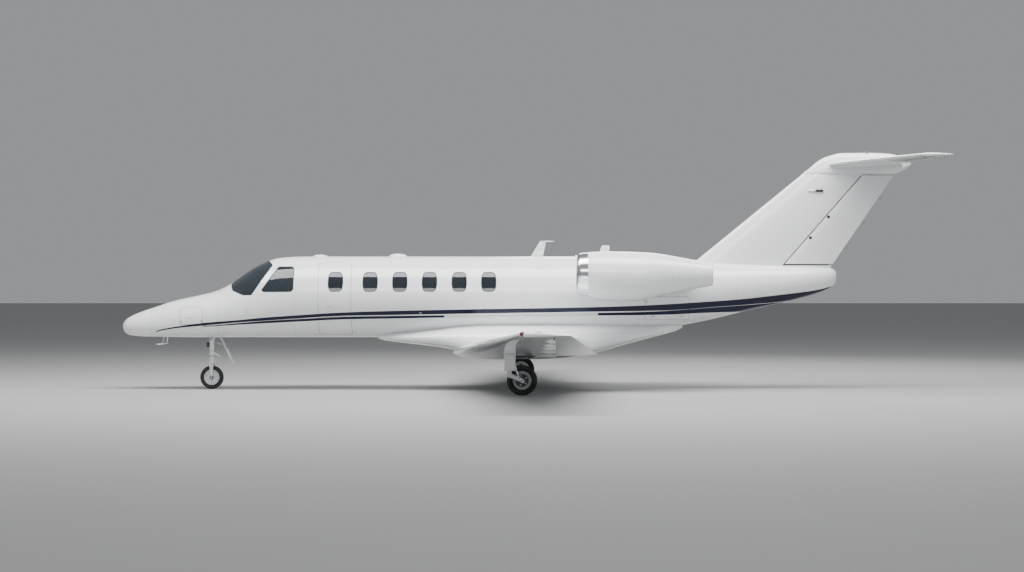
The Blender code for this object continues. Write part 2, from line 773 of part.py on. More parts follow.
def rudder_section(z):
    """A level section of the rudder: a round nose about its hinge, then straight to the trailing edge."""
    lead = fin_at(FIN_LEAD, z)
    chord = fin_at(FIN_TRAIL, z) - lead
    centre = fin_at(FIN_HINGE, z)
    table = airfoil(FIN_THICK, 0.0, 41)[:41][::-1]

    def half(u):
        return float(np.interp(u, table[:, 0], table[:, 1]) * chord)

    nose = half((centre - lead) / chord) * 0.96
    rim = [(centre + nose * math.cos(a), nose * math.sin(a)) for a in np.radians(np.linspace(100, 260, 9))]
    fractions = (0.82, 0.91, 1.0)
    rim += [(lead + chord * u, -half(u)) for u in fractions]
    rim += [(lead + chord * u, half(u)) for u in fractions[::-1]]
    return [(x_of(s), y, z) for s, y in rim]


def rudder_hinge(z):
    """A point on the rudder's hinge line."""
    return Vector((x_of(fin_at(FIN_HINGE, z)), 0, z))


def build_fin(tail, stabilizer):
    """The fin on the fuselage, with the rudder between the tail cone and the bullet fairing."""
    fin = loft([fin_section(z) for z in (FIN_ROOT_Z, 3.2, FIN_TOP_Z - SEAT_GAP)])
    bay = []
    for z in (RUDDER_LOW_Z - RUDDER_ROOM, FIN_TOP_Z + 0.1):
        lead = fin_at(FIN_LEAD, z)
        front = x_of(fin_at(FIN_HINGE, z) - FIN_THICK * (fin_at(FIN_TRAIL, z) - lead) * 0.40 - SURFACE_GAP)
        rear = x_of(LENGTH + 0.3)
        bay.append([(front, -0.3, z), (rear, -0.3, z), (rear, 0.3, z), (front, 0.3, z)])
    cut(fin, loft(bay), body(10.5, 13.925, -SEAT_GAP))

    rudder = loft([rudder_section(z) for z in (RUDDER_LOW_Z, RUDDER_HIGH_Z)])
    low = rudder_hinge(RUDDER_LOW_Z)
    high = rudder_hinge(RUDDER_HIGH_Z)
    up = (high - low).normalized()
    for place, reach in ((low, up * RUDDER_LOW_PIN), (high, up * RUDDER_HIGH_PIN)):
        fuse(rudder, rod(place + reach, place - reach, RUDDER_PIN_RADIUS, sides=PIN_SIDES))
    hole = socket(RUDDER_PIN_RADIUS, PIN_SIDES)
    for shape in (fin, tail):
        cut(shape, rod(low + up * PIN_LENGTH, low - up * (RUDDER_LOW_PIN + PIN_ROOM), hole, sides=PIN_SIDES))
    cut(stabilizer, rod(high, high + up * (RUDDER_HIGH_PIN + PIN_ROOM), hole, sides=PIN_SIDES))
    part(rudder, "rudder", "white_paint", tuple((low + high) / 2))
    part(fin, "fin", "white_paint")


def stabilizer_row(y):
    """Leading and trailing station of the stabilizer at a distance from the centre line."""
    t = abs(y) / (STABILIZER_HALF_SPAN - 0.08)
    return [a + (b - a) * t for a, b in zip(STABILIZER_ROOT, STABILIZER_TIP)]


def stabilizer_ring(y, scale=1.0, at_y=None):
    """A section of the stabilizer, full depth."""
    lead, trail = stabilizer_row(y)
    chord = trail - lead
    place = y if at_y is None else at_y
    return [(x_of(lead + chord * (0.5 + (u - 0.5) * scale)), place, STABILIZER_Z + v * chord * scale)
            for u, v in airfoil(STABILIZER_THICK, 0.0, 11)]


def stabilizer_half(y, fraction):
    """Half the stabilizer's depth at a chord fraction."""
    lead, trail = stabilizer_row(y)
    table = airfoil(STABILIZER_THICK, 0.0, 41)[:41][::-1]
    return float(np.interp(fraction, table[:, 0], table[:, 1]) * (trail - lead))


def elevator_ring(y, side):
    """A section of an elevator: a round nose about its hinge, then straight to the trailing edge."""
    lead, trail = stabilizer_row(y)
    chord = trail - lead
    nose = stabilizer_half(y, STABILIZER_SPLIT) * 0.96
    rim = [(STABILIZER_SPLIT + nose * math.cos(a) / chord, nose * math.sin(a))
           for a in np.radians(np.linspace(100, 260, 9))]
    rim += [(u, -stabilizer_half(y, u)) for u in (0.85, 1.0)]
    rim += [(u, stabilizer_half(y, u)) for u in (1.0, 0.85)]
    return [(x_of(lead + chord * u), side * y, STABILIZER_Z + v) for u, v in rim]


def elevator_hinge(y, side):
    """A point on the elevator's hinge line."""
    lead, trail = stabilizer_row(y)
    return Vector((x_of(lead + (trail - lead) * STABILIZER_SPLIT), side * y, STABILIZER_Z))


def build_stabilizer():
    """The stabilizer with its bullet fairing, and the two elevators."""
    tip = STABILIZER_HALF_SPAN
    joint = tip - 0.08
    rings = [stabilizer_ring(joint, 0.6, -tip), stabilizer_ring(joint, 1.0, -joint), stabilizer_ring(0.0),
             stabilizer_ring(joint, 1.0, joint), stabilizer_ring(joint, 0.6, tip)]
    stabilizer = loft(rings)
    for side in (-1, 1):
        inner, outer = ELEVATOR_SPAN
        bay = []
        for y in (inner - SURFACE_GAP * 1.6, outer + SURFACE_GAP):
            lead, trail = stabilizer_row(y)
            chord = trail - lead
            front = lead + chord * STABILIZER_SPLIT - stabilizer_half(y, STABILIZER_SPLIT) - SURFACE_GAP
            low, high = STABILIZER_Z - 0.2, STABILIZER_Z + 0.2
            bay.append([(x_of(front), side * y, low), (x_of(16.2), side * y, low),
                        (x_of(16.2), side * y, high), (x_of(front), side * y, high)])
        cut(stabilizer, loft(bay))
    bullet = loft([body_ring(row, 0.0, SMALL_RING_POINTS) for row in BULLET])
    cut(bullet, box((x_of(13.0), -0.4, 3.9), (x_of(15.8), 0.4, FIN_TOP_Z)))
    fuse(stabilizer, bullet)
    for side, hand in ((-1, "port"), (1, "starboard")):
        elevator = loft([elevator_ring(y, side) for y in ELEVATOR_SPAN])
        start = elevator_hinge(ELEVATOR_SPAN[0], side)
        end = elevator_hinge(ELEVATOR_SPAN[1], side)
        run = (end - start).normalized()
        pin = run * ELEVATOR_PIN
        room = run * (ELEVATOR_PIN + PIN_ROOM)
        hole = socket(ELEVATOR_PIN_RADIUS, PIN_SIDES)
        fuse(elevator, rod(start + pin, start - pin, ELEVATOR_PIN_RADIUS, sides=PIN_SIDES),
             rod(end - pin, end + pin, ELEVATOR_PIN_RADIUS, sides=PIN_SIDES))
        cut(stabilizer, rod(start + pin / 2, start - room, hole, sides=PIN_SIDES),
            rod(end - pin / 2, end + room, hole, sides=PIN_SIDES))
        part(elevator, f"elevator_{hand}", "white_paint", tuple((start + end) / 2))
    return stabilizer


def round_ring(station, radius, z, side, count=24):
    """A circle about an engine's axis."""
    angle = np.linspace(0, 2 * math.pi, count, endpoint=False)
    return [(x_of(station), side * ENGINE_Y + radius * math.cos(a), z + radius * math.sin(a)) for a in angle]


def duct_row(station):
    """Radius and axis height of the duct, straight between its rows."""
    rows = np.array(DUCT)
    return [float(np.interp(station, rows[:, 0], rows[:, i])) for i in (1, 2)]


def cowl_solid(side, grow=0.0):
    """The outer shape of an engine's cowl, filled."""
    return loft([round_ring(s, r + grow, z, side) for s, r, z in COWL])


def build_engine(side, hand):
    """A cowl with its duct, the engine in it, and the fan on the engine's shaft."""
    cowl = cowl_solid(side)
    mouth, outlet = DUCT[0], DUCT[-1]
    duct = [(mouth[0] - 0.05, *mouth[1:]), *DUCT, (outlet[0] + 0.05, *outlet[1:])]
    cut(cowl, loft([round_ring(s, r, z, side) for s, r, z in duct]))
    part(cowl, f"nacelle_{hand}", "white_paint")

    rows = [(s, duct_row(s)[0] - SEAT_GAP, duct_row(s)[1]) for s in (BLOCK_FRONT, 10.30, BLOCK_REAR)]
    block = loft([round_ring(s, r, z, side) for s, r, z in rows])
    fuse(block, loft([round_ring(s, r, z, side) for s, r, z in CORE]))
    axis_y = side * ENGINE_Y
    shaft_tip = x_of(FAN_STATION - 0.02)
    fuse(block, rod((x_of(BLOCK_FRONT + 0.02), axis_y, FAN_Z), (shaft_tip, axis_y, FAN_Z), SHAFT_RADIUS))
    part(block, f"engine_block_{hand}", "dark_metal")

    fan = loft([round_ring(s, r, FAN_Z, side, 16) for s, r in SPINNER])
    for i in range(FAN_BLADES):
        fuse(fan, fan_blade(2 * math.pi * i / FAN_BLADES, axis_y))
    cut(fan, rod((shaft_tip - SEAT_GAP, axis_y, FAN_Z), (x_of(BLOCK_FRONT), axis_y, FAN_Z),
                 socket(SHAFT_RADIUS, SHAFT_SIDES), sides=SHAFT_SIDES))
    part(fan, f"fan_{hand}", "bare_metal", (x_of(FAN_STATION), axis_y, FAN_Z))


def fan_blade(angle, axis_y):
    """A flat blade, set at an angle to the airflow."""
    blade = box((-BLADE_HALF_CHORD, -BLADE_HALF_THICK, BLADE_ROOT),
                (BLADE_HALF_CHORD, BLADE_HALF_THICK, FAN_RADIUS))
    lean = Matrix.Rotation(math.radians(BLADE_LEAN), 4, "Z")
    around = Matrix.Rotation(angle, 4, "X")
    blade.data.transform(Matrix.Translation((x_of(FAN_STATION + 0.01), axis_y, FAN_Z)) @ around @ lean)
    return blade


def build_pylon(side, hand):
    """The stub that carries an engine on the aft fuselage."""
    lead, trail, z, thick = PYLON
    chord = trail - lead
    rings = [[(x_of(lead + chord * u), side * y, z + v * chord) for u, v in airfoil(thick)]
             for y in PYLON_SPAN]
    pylon = loft(rings)
    cut(pylon, body(8.0, 12.5, -SEAT_GAP), cowl_solid(side, SEAT_GAP))
    part(pylon, f"pylon_{hand}", "white_paint")


def skin_point(shell, station, z, side):
    """The point of a shell's outer skin at a station and a height."""
    shape = bmesh.new()
    shape.from_mesh(shell.data)
    skin = BVHTree.FromBMesh(shape)
    shape.free()
    return skin.ray_cast(Vector((x_of(station), side * 2.0, z)), Vector((0, -side, 0)))[0]


def hatch(shell, name, front, rear, high, low, side, depth):
    """Cut a door out of a hollow shell. It hangs on a straight hinge along its upper edge."""
    corner = skin_point(shell, front, high, side)
    along = skin_point(shell, rear, high, side) - corner
    width = along.length
    along.normalize()
    down = skin_point(shell, (front + rear) / 2, low, side) - (corner + along * width / 2)
    down = down - along * down.dot(along)
    height = down.length
    down.normalize()
    out = along.cross(down)
    if out.y * side < 0:
        out = -out

    def slab(margin, deep):
        corners = ((-margin, -margin), (width + margin, -margin), (width + margin, height + margin),
                   (-margin, height + margin))
        return loft([[corner + along * u + down * v + out * w for u, v in corners] for w in (-deep, 0.4)])

    door = keep_inside(copy_of(shell), slab(0.0, depth))
    cut(shell, slab(DOOR_GAP, depth + 0.01))
    axis = corner + down * KNUCKLE_INSET + out * KNUCKLE_OUT
    start = axis + along * 0.03
    end = axis + along * (width - 0.03)
    fuse(door, rod(start, end, DOOR_GAP + KNUCKLE_INSET - SEAT_GAP, sides=12))
    part(door, name, "white_paint", tuple((start + end) / 2))


def roof_dome(station, half_length, half_width, height):
    """A low dome on the roof, sunk a little into it."""
    shape = bmesh.new()
    bmesh.ops.create_uvsphere(shape, u_segments=20, v_segments=10, radius=1.0)
    made = from_bmesh(shape, "dome")
    sunk = CABIN_WALL / 4
    size = Matrix.Diagonal((half_length, half_width, height + sunk, 1.0))
    made.data.transform(Matrix.Translation((x_of(station), 0, ROOF_TOP - sunk)) @ size)
    return made


def build_antenna(outline, name, bar=None):
    """A swept blade antenna on the roof, thickest in its middle, perhaps with a bar across its top."""
    front_foot, front_top, rear_top, rear_foot = outline
    half = ANTENNA_THICK / 2
    rings = []
    for (front, z), (rear, _), depth in ((front_foot, rear_foot, half), (front_top, rear_top, half / 2)):
        middle = x_of((front + rear) / 2)
        quarter = (rear - front) / 4
        rings.append([(x_of(front), 0, z), (middle - quarter, depth, z), (middle + quarter, depth * 0.8, z),
                      (x_of(rear), 0, z), (middle + quarter, -depth * 0.8, z), (middle - quarter, -depth, z)])
    made = cut(loft(rings), body(7.0, 10.5, -SEAT_GAP))
    if bar is not None:
        front, rear, height, radius = bar
        fuse(made, rod((x_of(front), 0, height), (x_of(rear), 0, height), radius, sides=8))
    part(made, name, "white_paint")


def build_glazing(cabin):
    """Cut the windows into the cabin shell and fill them with panes."""
    outer = CABIN_RADIUS - PANE_DEPTH
    inner = outer - PANE_THICK
    for side, hand in ((-1, "port"), (1, "starboard")):
        stations = list(WINDOW_STATIONS)
        if side > 0:
            stations.insert(0, DOOR_WINDOW_STATION)
        for s in stations:
            cut(cabin, side_prism(window_outline(s), side))
        band_low = math.degrees(math.asin((WINDOW_Z - 0.24 - CABIN_Z) / CABIN_RADIUS))
        band_high = math.degrees(math.asin((WINDOW_Z + 0.24 - CABIN_Z) / CABIN_RADIUS))
        wall_inside = CABIN_RADIUS * math.cos(math.pi / RING_POINTS) - CABIN_WALL - 0.0030
        panes = cabin_patch(stations[0] - 0.2, stations[-1] + 0.2, band_low, band_high,
                            wall_inside, wall_inside - 0.012, side, 4)
        for s in stations:
            layer = cabin_patch(s - 0.2, s + 0.2, band_low, band_high, outer, wall_inside - 0.005, side, 6)
            fuse(panes, keep_inside(layer, side_prism(window_outline(s, SEAT_GAP * 2), side)))
        part(panes, f"cabin_windows_{hand}", "glass")

        for outline, name in ((WINDSHIELD, "windshield"), (SIDE_WINDOW, "cockpit_window")):
            low_y = WINDSHIELD_POST if name == "windshield" else 0.30
            points = in_x(outline)
            cut(cabin, side_prism(points, side, low_y, 0.95))
            pane = body(NOSE_END + 0.06, 3.60, PANE_DEPTH)
            cut(pane, body(NOSE_END, 3.70, PANE_DEPTH + PANE_THICK))
            keep_inside(pane, side_prism(drawn_in(points, SEAT_GAP * 2), side, low_y + SEAT_GAP, 0.95))
            part(pane, f"{name}_{hand}", "glass")


def build_cabin_door(cabin):
    """The cabin door, hinged along its lower edge, with its own window."""
    gap_angle = math.degrees(DOOR_GAP / CABIN_RADIUS)
    whole = (CABIN_RADIUS + 0.2, CABIN_RADIUS - CABIN_WALL - 0.1)
    door = keep_inside(copy_of(cabin), cabin_patch(DOOR_FRONT, DOOR_REAR, DOOR_LOW_ANGLE, DOOR_HIGH_ANGLE,
                                                   *whole, -1))
    cut(cabin, cabin_patch(DOOR_FRONT - DOOR_GAP, DOOR_REAR + DOOR_GAP, DOOR_LOW_ANGLE - gap_angle,
                           DOOR_HIGH_ANGLE + gap_angle, *whole, -1))
    cut(door, side_prism(window_outline(DOOR_WINDOW_STATION), -1))
    outer = CABIN_RADIUS - PANE_DEPTH
    pane = cabin_patch(DOOR_WINDOW_STATION - 0.2, DOOR_WINDOW_STATION + 0.2, 0.0, 45.0,
                       outer, outer - PANE_THICK, -1, 6)
    keep_inside(pane, side_prism(window_outline(DOOR_WINDOW_STATION, SEAT_GAP * 2), -1))
    low = math.radians(DOOR_LOW_ANGLE)
    y = -CABIN_RADIUS * math.cos(low)
    z = CABIN_Z + CABIN_RADIUS * math.sin(low)
    axis = ((x_of(DOOR_FRONT) + x_of(DOOR_REAR)) / 2, y, z)
    fuse(door, rod((x_of(DOOR_FRONT + 0.03), y, z), (x_of(DOOR_REAR - 0.03), y, z),
                   DOOR_GAP - SEAT_GAP, sides=PIN_SIDES))
    part(door, "cabin_door", "white_paint", axis)
    part(pane, "door_window", "glass", axis)


def interior_solid():
    """The space inside the cabin, a hair off the wall."""
    return body(NOSE_END + 0.05 + SEAT_GAP, CABIN_END - 0.002, CABIN_WALL + SEAT_GAP)


def seat_shapes(station, y, facing):
    """The boxes of one seat. Facing is -1 for a seat that looks forward and 1 for one that looks aft."""
    x = x_of(station)
    side = 1 if y > 0 else -1
    shapes = []
    for ahead, outwards, (z0, z1), bevel in SEAT_BOXES:
        x0, x1 = sorted(x + facing * reach for reach in ahead)
        y0, y1 = sorted(y + side * reach for reach in outwards)
        shapes.append(box((x0, y0, z0), (x1, y1, z1), bevel))
    return shapes


def wide_box(row, y=0.0):
    """A box from its front and rear station, half width, lower and upper edge."""
    front, rear, half, low, high = row
    return box((x_of(front), y - half, low), (x_of(rear), y + half, high))


def seat_rail(row, side):
    """A rail on the floor that carries seats."""
    front, rear, y = row
    low = FLOOR_TOP + SEAT_GAP
    return wide_box((front, rear, RAIL_HALF_WIDTH, low, FLOOR_TOP + RAIL_HEIGHT), side * y)


def build_interior():
    """Floor, seats, instrument panel and divider that show through the glass."""
    floor = keep_inside(wide_box((NOSE_END, 8.90, 0.70, FLOOR_TOP - 0.04, FLOOR_TOP)), interior_solid())
    inner = CABIN_RADIUS - CABIN_WALL - 0.012
    cut(floor, cabin_patch(DOOR_FRONT - 0.02, DOOR_REAR + 0.02, -80, 60, CABIN_RADIUS, inner, -1))
    part(floor, "cabin_floor", "carpet")
    for side, hand in ((-1, "port"), (1, "starboard")):
        seats = seat_rail(CABIN_RAIL, side)
        for station, facing in CABIN_SEATS:
            fuse(seats, *seat_shapes(station, side * CABIN_SEAT_Y, facing))
        part(seats, f"cabin_seats_{hand}", "leather")
        rail = seat_rail(COCKPIT_RAIL, side)
        station, y = COCKPIT_SEAT
        fuse(rail, *seat_shapes(station, side * y, -1))
        part(rail, f"cockpit_seat_{hand}", "leather")
    panel = wide_box(PANEL_BOX)
    fuse(panel, wide_box(PEDESTAL_BOX))
    front, rear, radius, z = YOKE_SHAFT
    for side in (-1, 1):
        y = side * YOKE_Y
        fuse(panel, rod((x_of(front), y, z), (x_of(rear), y, z), radius, sides=8), wide_box(YOKE_BAR, y))
    keep_inside(panel, interior_solid())
    part(panel, "instrument_panel", "panel")
    divider = keep_inside(wide_box(DIVIDER_BOX), interior_solid())
    cut(divider, wide_box(DIVIDER_OPENING))
    part(divider, "cabin_divider", "cabinet")


def turned(profile, centre, steps=WHEEL_STEPS):
    """Turn a closed profile of radius and distance along the axle about an axle that runs along Y."""
    mesh = bpy.data.meshes.new("profile")
    edges = [(i, (i + 1) % len(profile)) for i in range(len(profile))]
    mesh.from_pydata([(radius, 0, along) for radius, along in profile], edges, [])
    made = new_object("turned", mesh)
    screw = made.modifiers.new("turn", "SCREW")
    screw.steps = steps
    screw.render_steps = steps
    screw.use_merge_vertices = True
    screw.merge_threshold = 0.0001
    bake(made)
    shape = bmesh.new()
    shape.from_mesh(made.data)
    bmesh.ops.remove_doubles(shape, verts=shape.verts, dist=0.00001)
    bmesh.ops.recalc_face_normals(shape, faces=shape.faces)
    shape.to_mesh(made.data)
    shape.free()
    made.data.transform(Matrix.Translation(centre) @ Matrix.Rotation(math.radians(90), 4, "X"))
    return made


def build_wheel(name, sizes, centre, axle_radius):
    """A rim on its axle, and the tyre on the rim."""
    tyre_radius, half_width, rim_radius = sizes
    bore = axle_radius + SEAT_GAP
    hub = axle_radius + 0.028
    hub_half = half_width * 0.75
    rim_half = half_width * 0.88
    lip = rim_radius - 0.018
    well = rim_radius - 0.034
    half = [(bore, hub_half), (hub, hub_half), (hub + 0.01, 0.020), (well, 0.020), (lip, rim_half),
            (rim_radius, rim_half)]
    profile = half + [(radius, -along) for radius, along in half[::-1]]
    part(turned(profile, centre), f"{name}_rim", "bare_metal", centre)
    middle = (tyre_radius + rim_radius + SEAT_GAP) / 2
    reach = (tyre_radius - rim_radius - SEAT_GAP) / 2
    angle = np.linspace(0, 2 * math.pi, 10, endpoint=False)
    outline = [(middle + reach * np.sign(math.cos(a)) * abs(math.cos(a)) ** (2 / 2.6),
                half_width * np.sign(math.sin(a)) * abs(math.sin(a)) ** (2 / 2.6)) for a in angle]
    part(turned(outline, centre), f"{name}_tyre", "tyre_rubber", centre)


def build_nose_gear():
    """Nose leg in its well, the fork that steers on it, the wheel, and the door behind it."""
    x = x_of(NOSE_WHEEL_STATION)
    axle_z = NOSE_TYRE[0]
    leg = rod((x, 0, NOSE_LEG_TOP - SEAT_GAP), (x, 0, NOSE_CYLINDER_LOW), NOSE_LEG_RADIUS)
    fuse(leg, rod((x, 0, NOSE_CYLINDER_LOW + 0.02), (x, 0, NOSE_PISTON_LOW), NOSE_PISTON_RADIUS))
    part(leg, "nose_leg", "gear_paint")
    low, high = NOSE_FORK_TOP
    half = NOSE_FORK_HALF_WIDTH
    fork = box((x - 0.055, -half, low), (x + 0.055, half, high), 0.012)
    fuse(fork, rod((x, 0, high - 0.01), (x, 0, high + 0.06), NOSE_PISTON_RADIUS + 0.026))
    for side in (-1, 1):
        y0, y1 = sorted((side * NOSE_FORK_INNER, side * half))
        fuse(fork, prism([(x + aft, z) for aft, z in NOSE_FORK_ARM], 1, y0, y1))
    reach = (half + NOSE_FORK_INNER) / 2
    fuse(fork, rod((x, -reach, axle_z), (x, reach, axle_z), NOSE_AXLE_RADIUS))
    cut(fork, rod((x, 0, NOSE_PISTON_LOW - SEAT_GAP), (x, 0, NOSE_CYLINDER_LOW),
                  socket(NOSE_PISTON_RADIUS, 16)))
    part(fork, "nose_fork", "gear_paint", (x, 0, high))
    build_wheel("nose", NOSE_TYRE, Vector((x, 0, axle_z)), NOSE_AXLE_RADIUS)
    (top_station, top_z), (low_station, low_z) = NOSE_GEAR_DOOR
    half_width = NOSE_DOOR_HALF_WIDTH
    outline = [(top_station, top_z), (top_station + GEAR_DOOR_THICK, top_z),
               (low_station + GEAR_DOOR_THICK, low_z), (low_station, low_z)]
    part(prism(in_x(outline), 1, -half_width, half_width), "nose_gear_door", "white_paint")


def build_main_gear(side, hand):
    """A main leg in its well, the trailing link with its axle, the wheel and the leg's door."""
    pivot_x = x_of(MAIN_PIVOT[0])
    pivot_z = MAIN_PIVOT[1]
    axle = Vector((x_of(MAIN_WHEEL_STATION), side * MAIN_WHEEL_Y, MAIN_TYRE[0]))
    y = side * MAIN_LEG_Y
    roof = wing_row(MAIN_LEG_Y)[2] - WELL_ROOF
    front, rear = (pivot_x + WELL_FRONT + SEAT_GAP, pivot_x + WELL_REAR - SEAT_GAP)
    trunnion_z = roof - WELL_ROOF
    leg = rod((pivot_x, y, roof - SEAT_GAP), (pivot_x, y, pivot_z + CLEVIS_HALF), MAIN_LEG_RADIUS)
    fuse(leg, rod((front, y, trunnion_z), (rear, y, trunnion_z), TRUNNION_RADIUS))
    fuse(leg, rod((pivot_x, y - CLEVIS_HALF, pivot_z), (pivot_x, y + CLEVIS_HALF, pivot_z), MAIN_LEG_RADIUS))
    slot = LINK_HALF + SEAT_GAP * 2
    cut(leg, box((pivot_x - 0.06, y - slot, pivot_z - 0.06), (pivot_x + 0.06, y + slot, pivot_z + 0.055)))
    pin = CLEVIS_HALF - 0.001
    fuse(leg, rod((pivot_x, y - pin, pivot_z), (pivot_x, y + pin, pivot_z), PIVOT_PIN_RADIUS))
    part(leg, f"main_leg_{hand}", "gear_paint")

    depth = 0.045
    outline = [(pivot_x - 0.050, pivot_z + 0.01), (pivot_x, pivot_z + 0.052),
               (pivot_x + 0.06, pivot_z + depth), (axle.x + 0.05, axle.z + depth),
               (axle.x + 0.06, axle.z), (axle.x + 0.02, axle.z - depth), (pivot_x, pivot_z - depth)]
    link = prism(outline, 1, y - LINK_HALF, y + LINK_HALF)
    axle_end = axle.y - side * MAIN_TYRE[1] * 0.9
    fuse(link, rod((axle.x, y, axle.z), (axle.x, axle_end, axle.z), MAIN_AXLE_RADIUS))
    cut(link, rod((pivot_x, y - 0.1, pivot_z), (pivot_x, y + 0.1, pivot_z), PIVOT_PIN_RADIUS + SEAT_GAP))
    part(link, f"main_link_{hand}", "gear_paint")
    build_wheel(f"main_{hand}", MAIN_TYRE, axle, MAIN_AXLE_RADIUS)
    door_inner = MAIN_LEG_Y + MAIN_LEG_RADIUS
    door_y = sorted((side * (door_inner + SEAT_GAP), side * (door_inner + GEAR_DOOR_THICK)))
    door_front, door_rear, door_low, door_high = MAIN_GEAR_DOOR
    part(box((pivot_x + door_front, door_y[0], door_low), (pivot_x + door_rear, door_y[1], door_high)),
         f"main_gear_door_{hand}", "white_paint")


def main():
    """Build the jet."""
    clear_scene()
    nose, cabin, aft, tail = build_fuselage()
    for side, hand in ((-1, "port"), (1, "starboard")):
        hatch(nose, f"nose_baggage_door_{hand}", 1.19, 1.64, 1.60, 1.27, side, 0.12)
    part(nose, "nose_shell", "white_paint")
    hatch(aft, "aft_baggage_door", 10.17, 11.03, 1.80, 1.36, -1, 0.16)
    part(aft, "aft_fuselage", "white_paint")
    build_cabin_door(cabin)
    build_glazing(cabin)
    fuse(cabin, *(roof_dome(*row) for row in ROOF_DOMES))
    part(cabin, "cabin_shell", "white_paint")
    build_interior()
    build_antenna(ANTENNA_FRONT, "antenna_front", ANTENNA_BAR)
    build_antenna(ANTENNA_REAR, "antenna_rear")
    fairing = fairing_solid()
    cut(fairing, body(4.6, 11.5, -SEAT_GAP))
    build_wings(fairing)
    part(fairing, "wing_fairing", "white_paint")
    stabilizer = build_stabilizer()
    build_fin(tail, stabilizer)
    part(stabilizer, "stabilizer", "white_paint")
    part(tail, "tail_cone", "white_paint")
    for side, hand in ((-1, "port"), (1, "starboard")):
        build_engine(side, hand)
        build_pylon(side, hand)
        build_main_gear(side, hand)
    build_nose_gear()


main()
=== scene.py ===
"""Looks of a twin-engine T-tail business jet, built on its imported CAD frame.

Metres, in the frame's own axes: X aft, Y to starboard, Z up. A station is a distance aft
of the nose tip. Surfaces are worked out as numpy grids or as flat meshes laid on a formula.
"""
import math

import bmesh
import bpy
import numpy as np
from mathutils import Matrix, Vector
from mathutils.geometry import delaunay_2d_cdt


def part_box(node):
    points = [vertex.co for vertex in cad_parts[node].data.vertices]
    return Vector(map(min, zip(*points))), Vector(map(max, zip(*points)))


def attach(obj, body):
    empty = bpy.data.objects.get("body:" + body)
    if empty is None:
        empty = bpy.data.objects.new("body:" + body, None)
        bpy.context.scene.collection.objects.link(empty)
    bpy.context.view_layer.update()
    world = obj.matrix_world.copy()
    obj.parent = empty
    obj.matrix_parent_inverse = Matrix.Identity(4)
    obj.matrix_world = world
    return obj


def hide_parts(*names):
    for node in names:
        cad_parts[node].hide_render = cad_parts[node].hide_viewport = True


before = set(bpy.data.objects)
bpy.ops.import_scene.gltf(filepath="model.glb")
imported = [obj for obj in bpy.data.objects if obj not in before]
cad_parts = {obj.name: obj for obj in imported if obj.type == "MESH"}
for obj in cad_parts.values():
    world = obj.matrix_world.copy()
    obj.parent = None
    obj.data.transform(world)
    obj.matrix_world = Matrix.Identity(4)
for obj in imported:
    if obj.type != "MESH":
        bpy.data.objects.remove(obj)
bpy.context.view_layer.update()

# Whole jet
LENGTH = 15.59
SPAN = 16.26
HAIR = 0.0003
DOOR_GAP = 0.006
SIDES = ((-1, "port"), (1, "starboard"))

# Fuselage: station, bottom, top, half width, height of the widest point, lower corner power
FUSELAGE = (
    (0.000, 1.200, 1.240, 0.022, 1.220, 2.00),
    (0.020, 1.145, 1.296, 0.078, 1.219, 2.00),
    (0.059, 1.092, 1.349, 0.132, 1.217, 2.05),
    (0.176, 1.046, 1.427, 0.212, 1.217, 2.15),
    (0.410, 1.026, 1.525, 0.302, 1.228, 2.30),
    (0.645, 1.020, 1.603, 0.366, 1.248, 2.40),
    (1.000, 1.015, 1.720, 0.448, 1.292, 2.50),
    (1.350, 1.010, 1.800, 0.520, 1.346, 2.50),
    (1.700, 1.010, 1.877, 0.582, 1.402, 2.45),
    (1.880, 1.010, 1.935, 0.610, 1.432, 2.40),
    (2.110, 1.010, 2.053, 0.644, 1.482, 2.35),
    (2.287, 1.010, 2.170, 0.668, 1.524, 2.30),
    (2.678, 1.010, 2.424, 0.716, 1.622, 2.20),
    (3.070, 1.010, 2.561, 0.753, 1.706, 2.10),
    (3.460, 1.010, 2.586, 0.778, 1.768, 2.03),
    (3.750, 1.010, 2.590, 0.790, 1.800, 2.00),
    (8.500, 1.010, 2.590, 0.790, 1.800, 2.00),
    (9.300, 1.040, 2.586, 0.780, 1.815, 2.00),
    (10.300, 1.150, 2.535, 0.705, 1.860, 2.00),
    (11.280, 1.316, 2.483, 0.560, 1.920, 2.00),
    (12.280, 1.550, 2.440, 0.420, 2.020, 2.00),
    (12.980, 1.705, 2.408, 0.320, 2.080, 2.00),
    (13.530, 1.857, 2.382, 0.232, 2.140, 2.00),
    (13.860, 2.000, 2.350, 0.160, 2.190, 2.00),
    (13.925, 2.070, 2.310, 0.110, 2.195, 2.00),
)
RADOME_END = 0.60
NOSE_END = 1.93
CABIN_END = 8.95
AFT_END = 11.95
TAIL_END = 13.925
NOSE_WALL = 0.04
CABIN_WALL = 0.06
AFT_WALL = 0.05
ARC_SCALE = 0.79
SKIN_STEP = 0.055

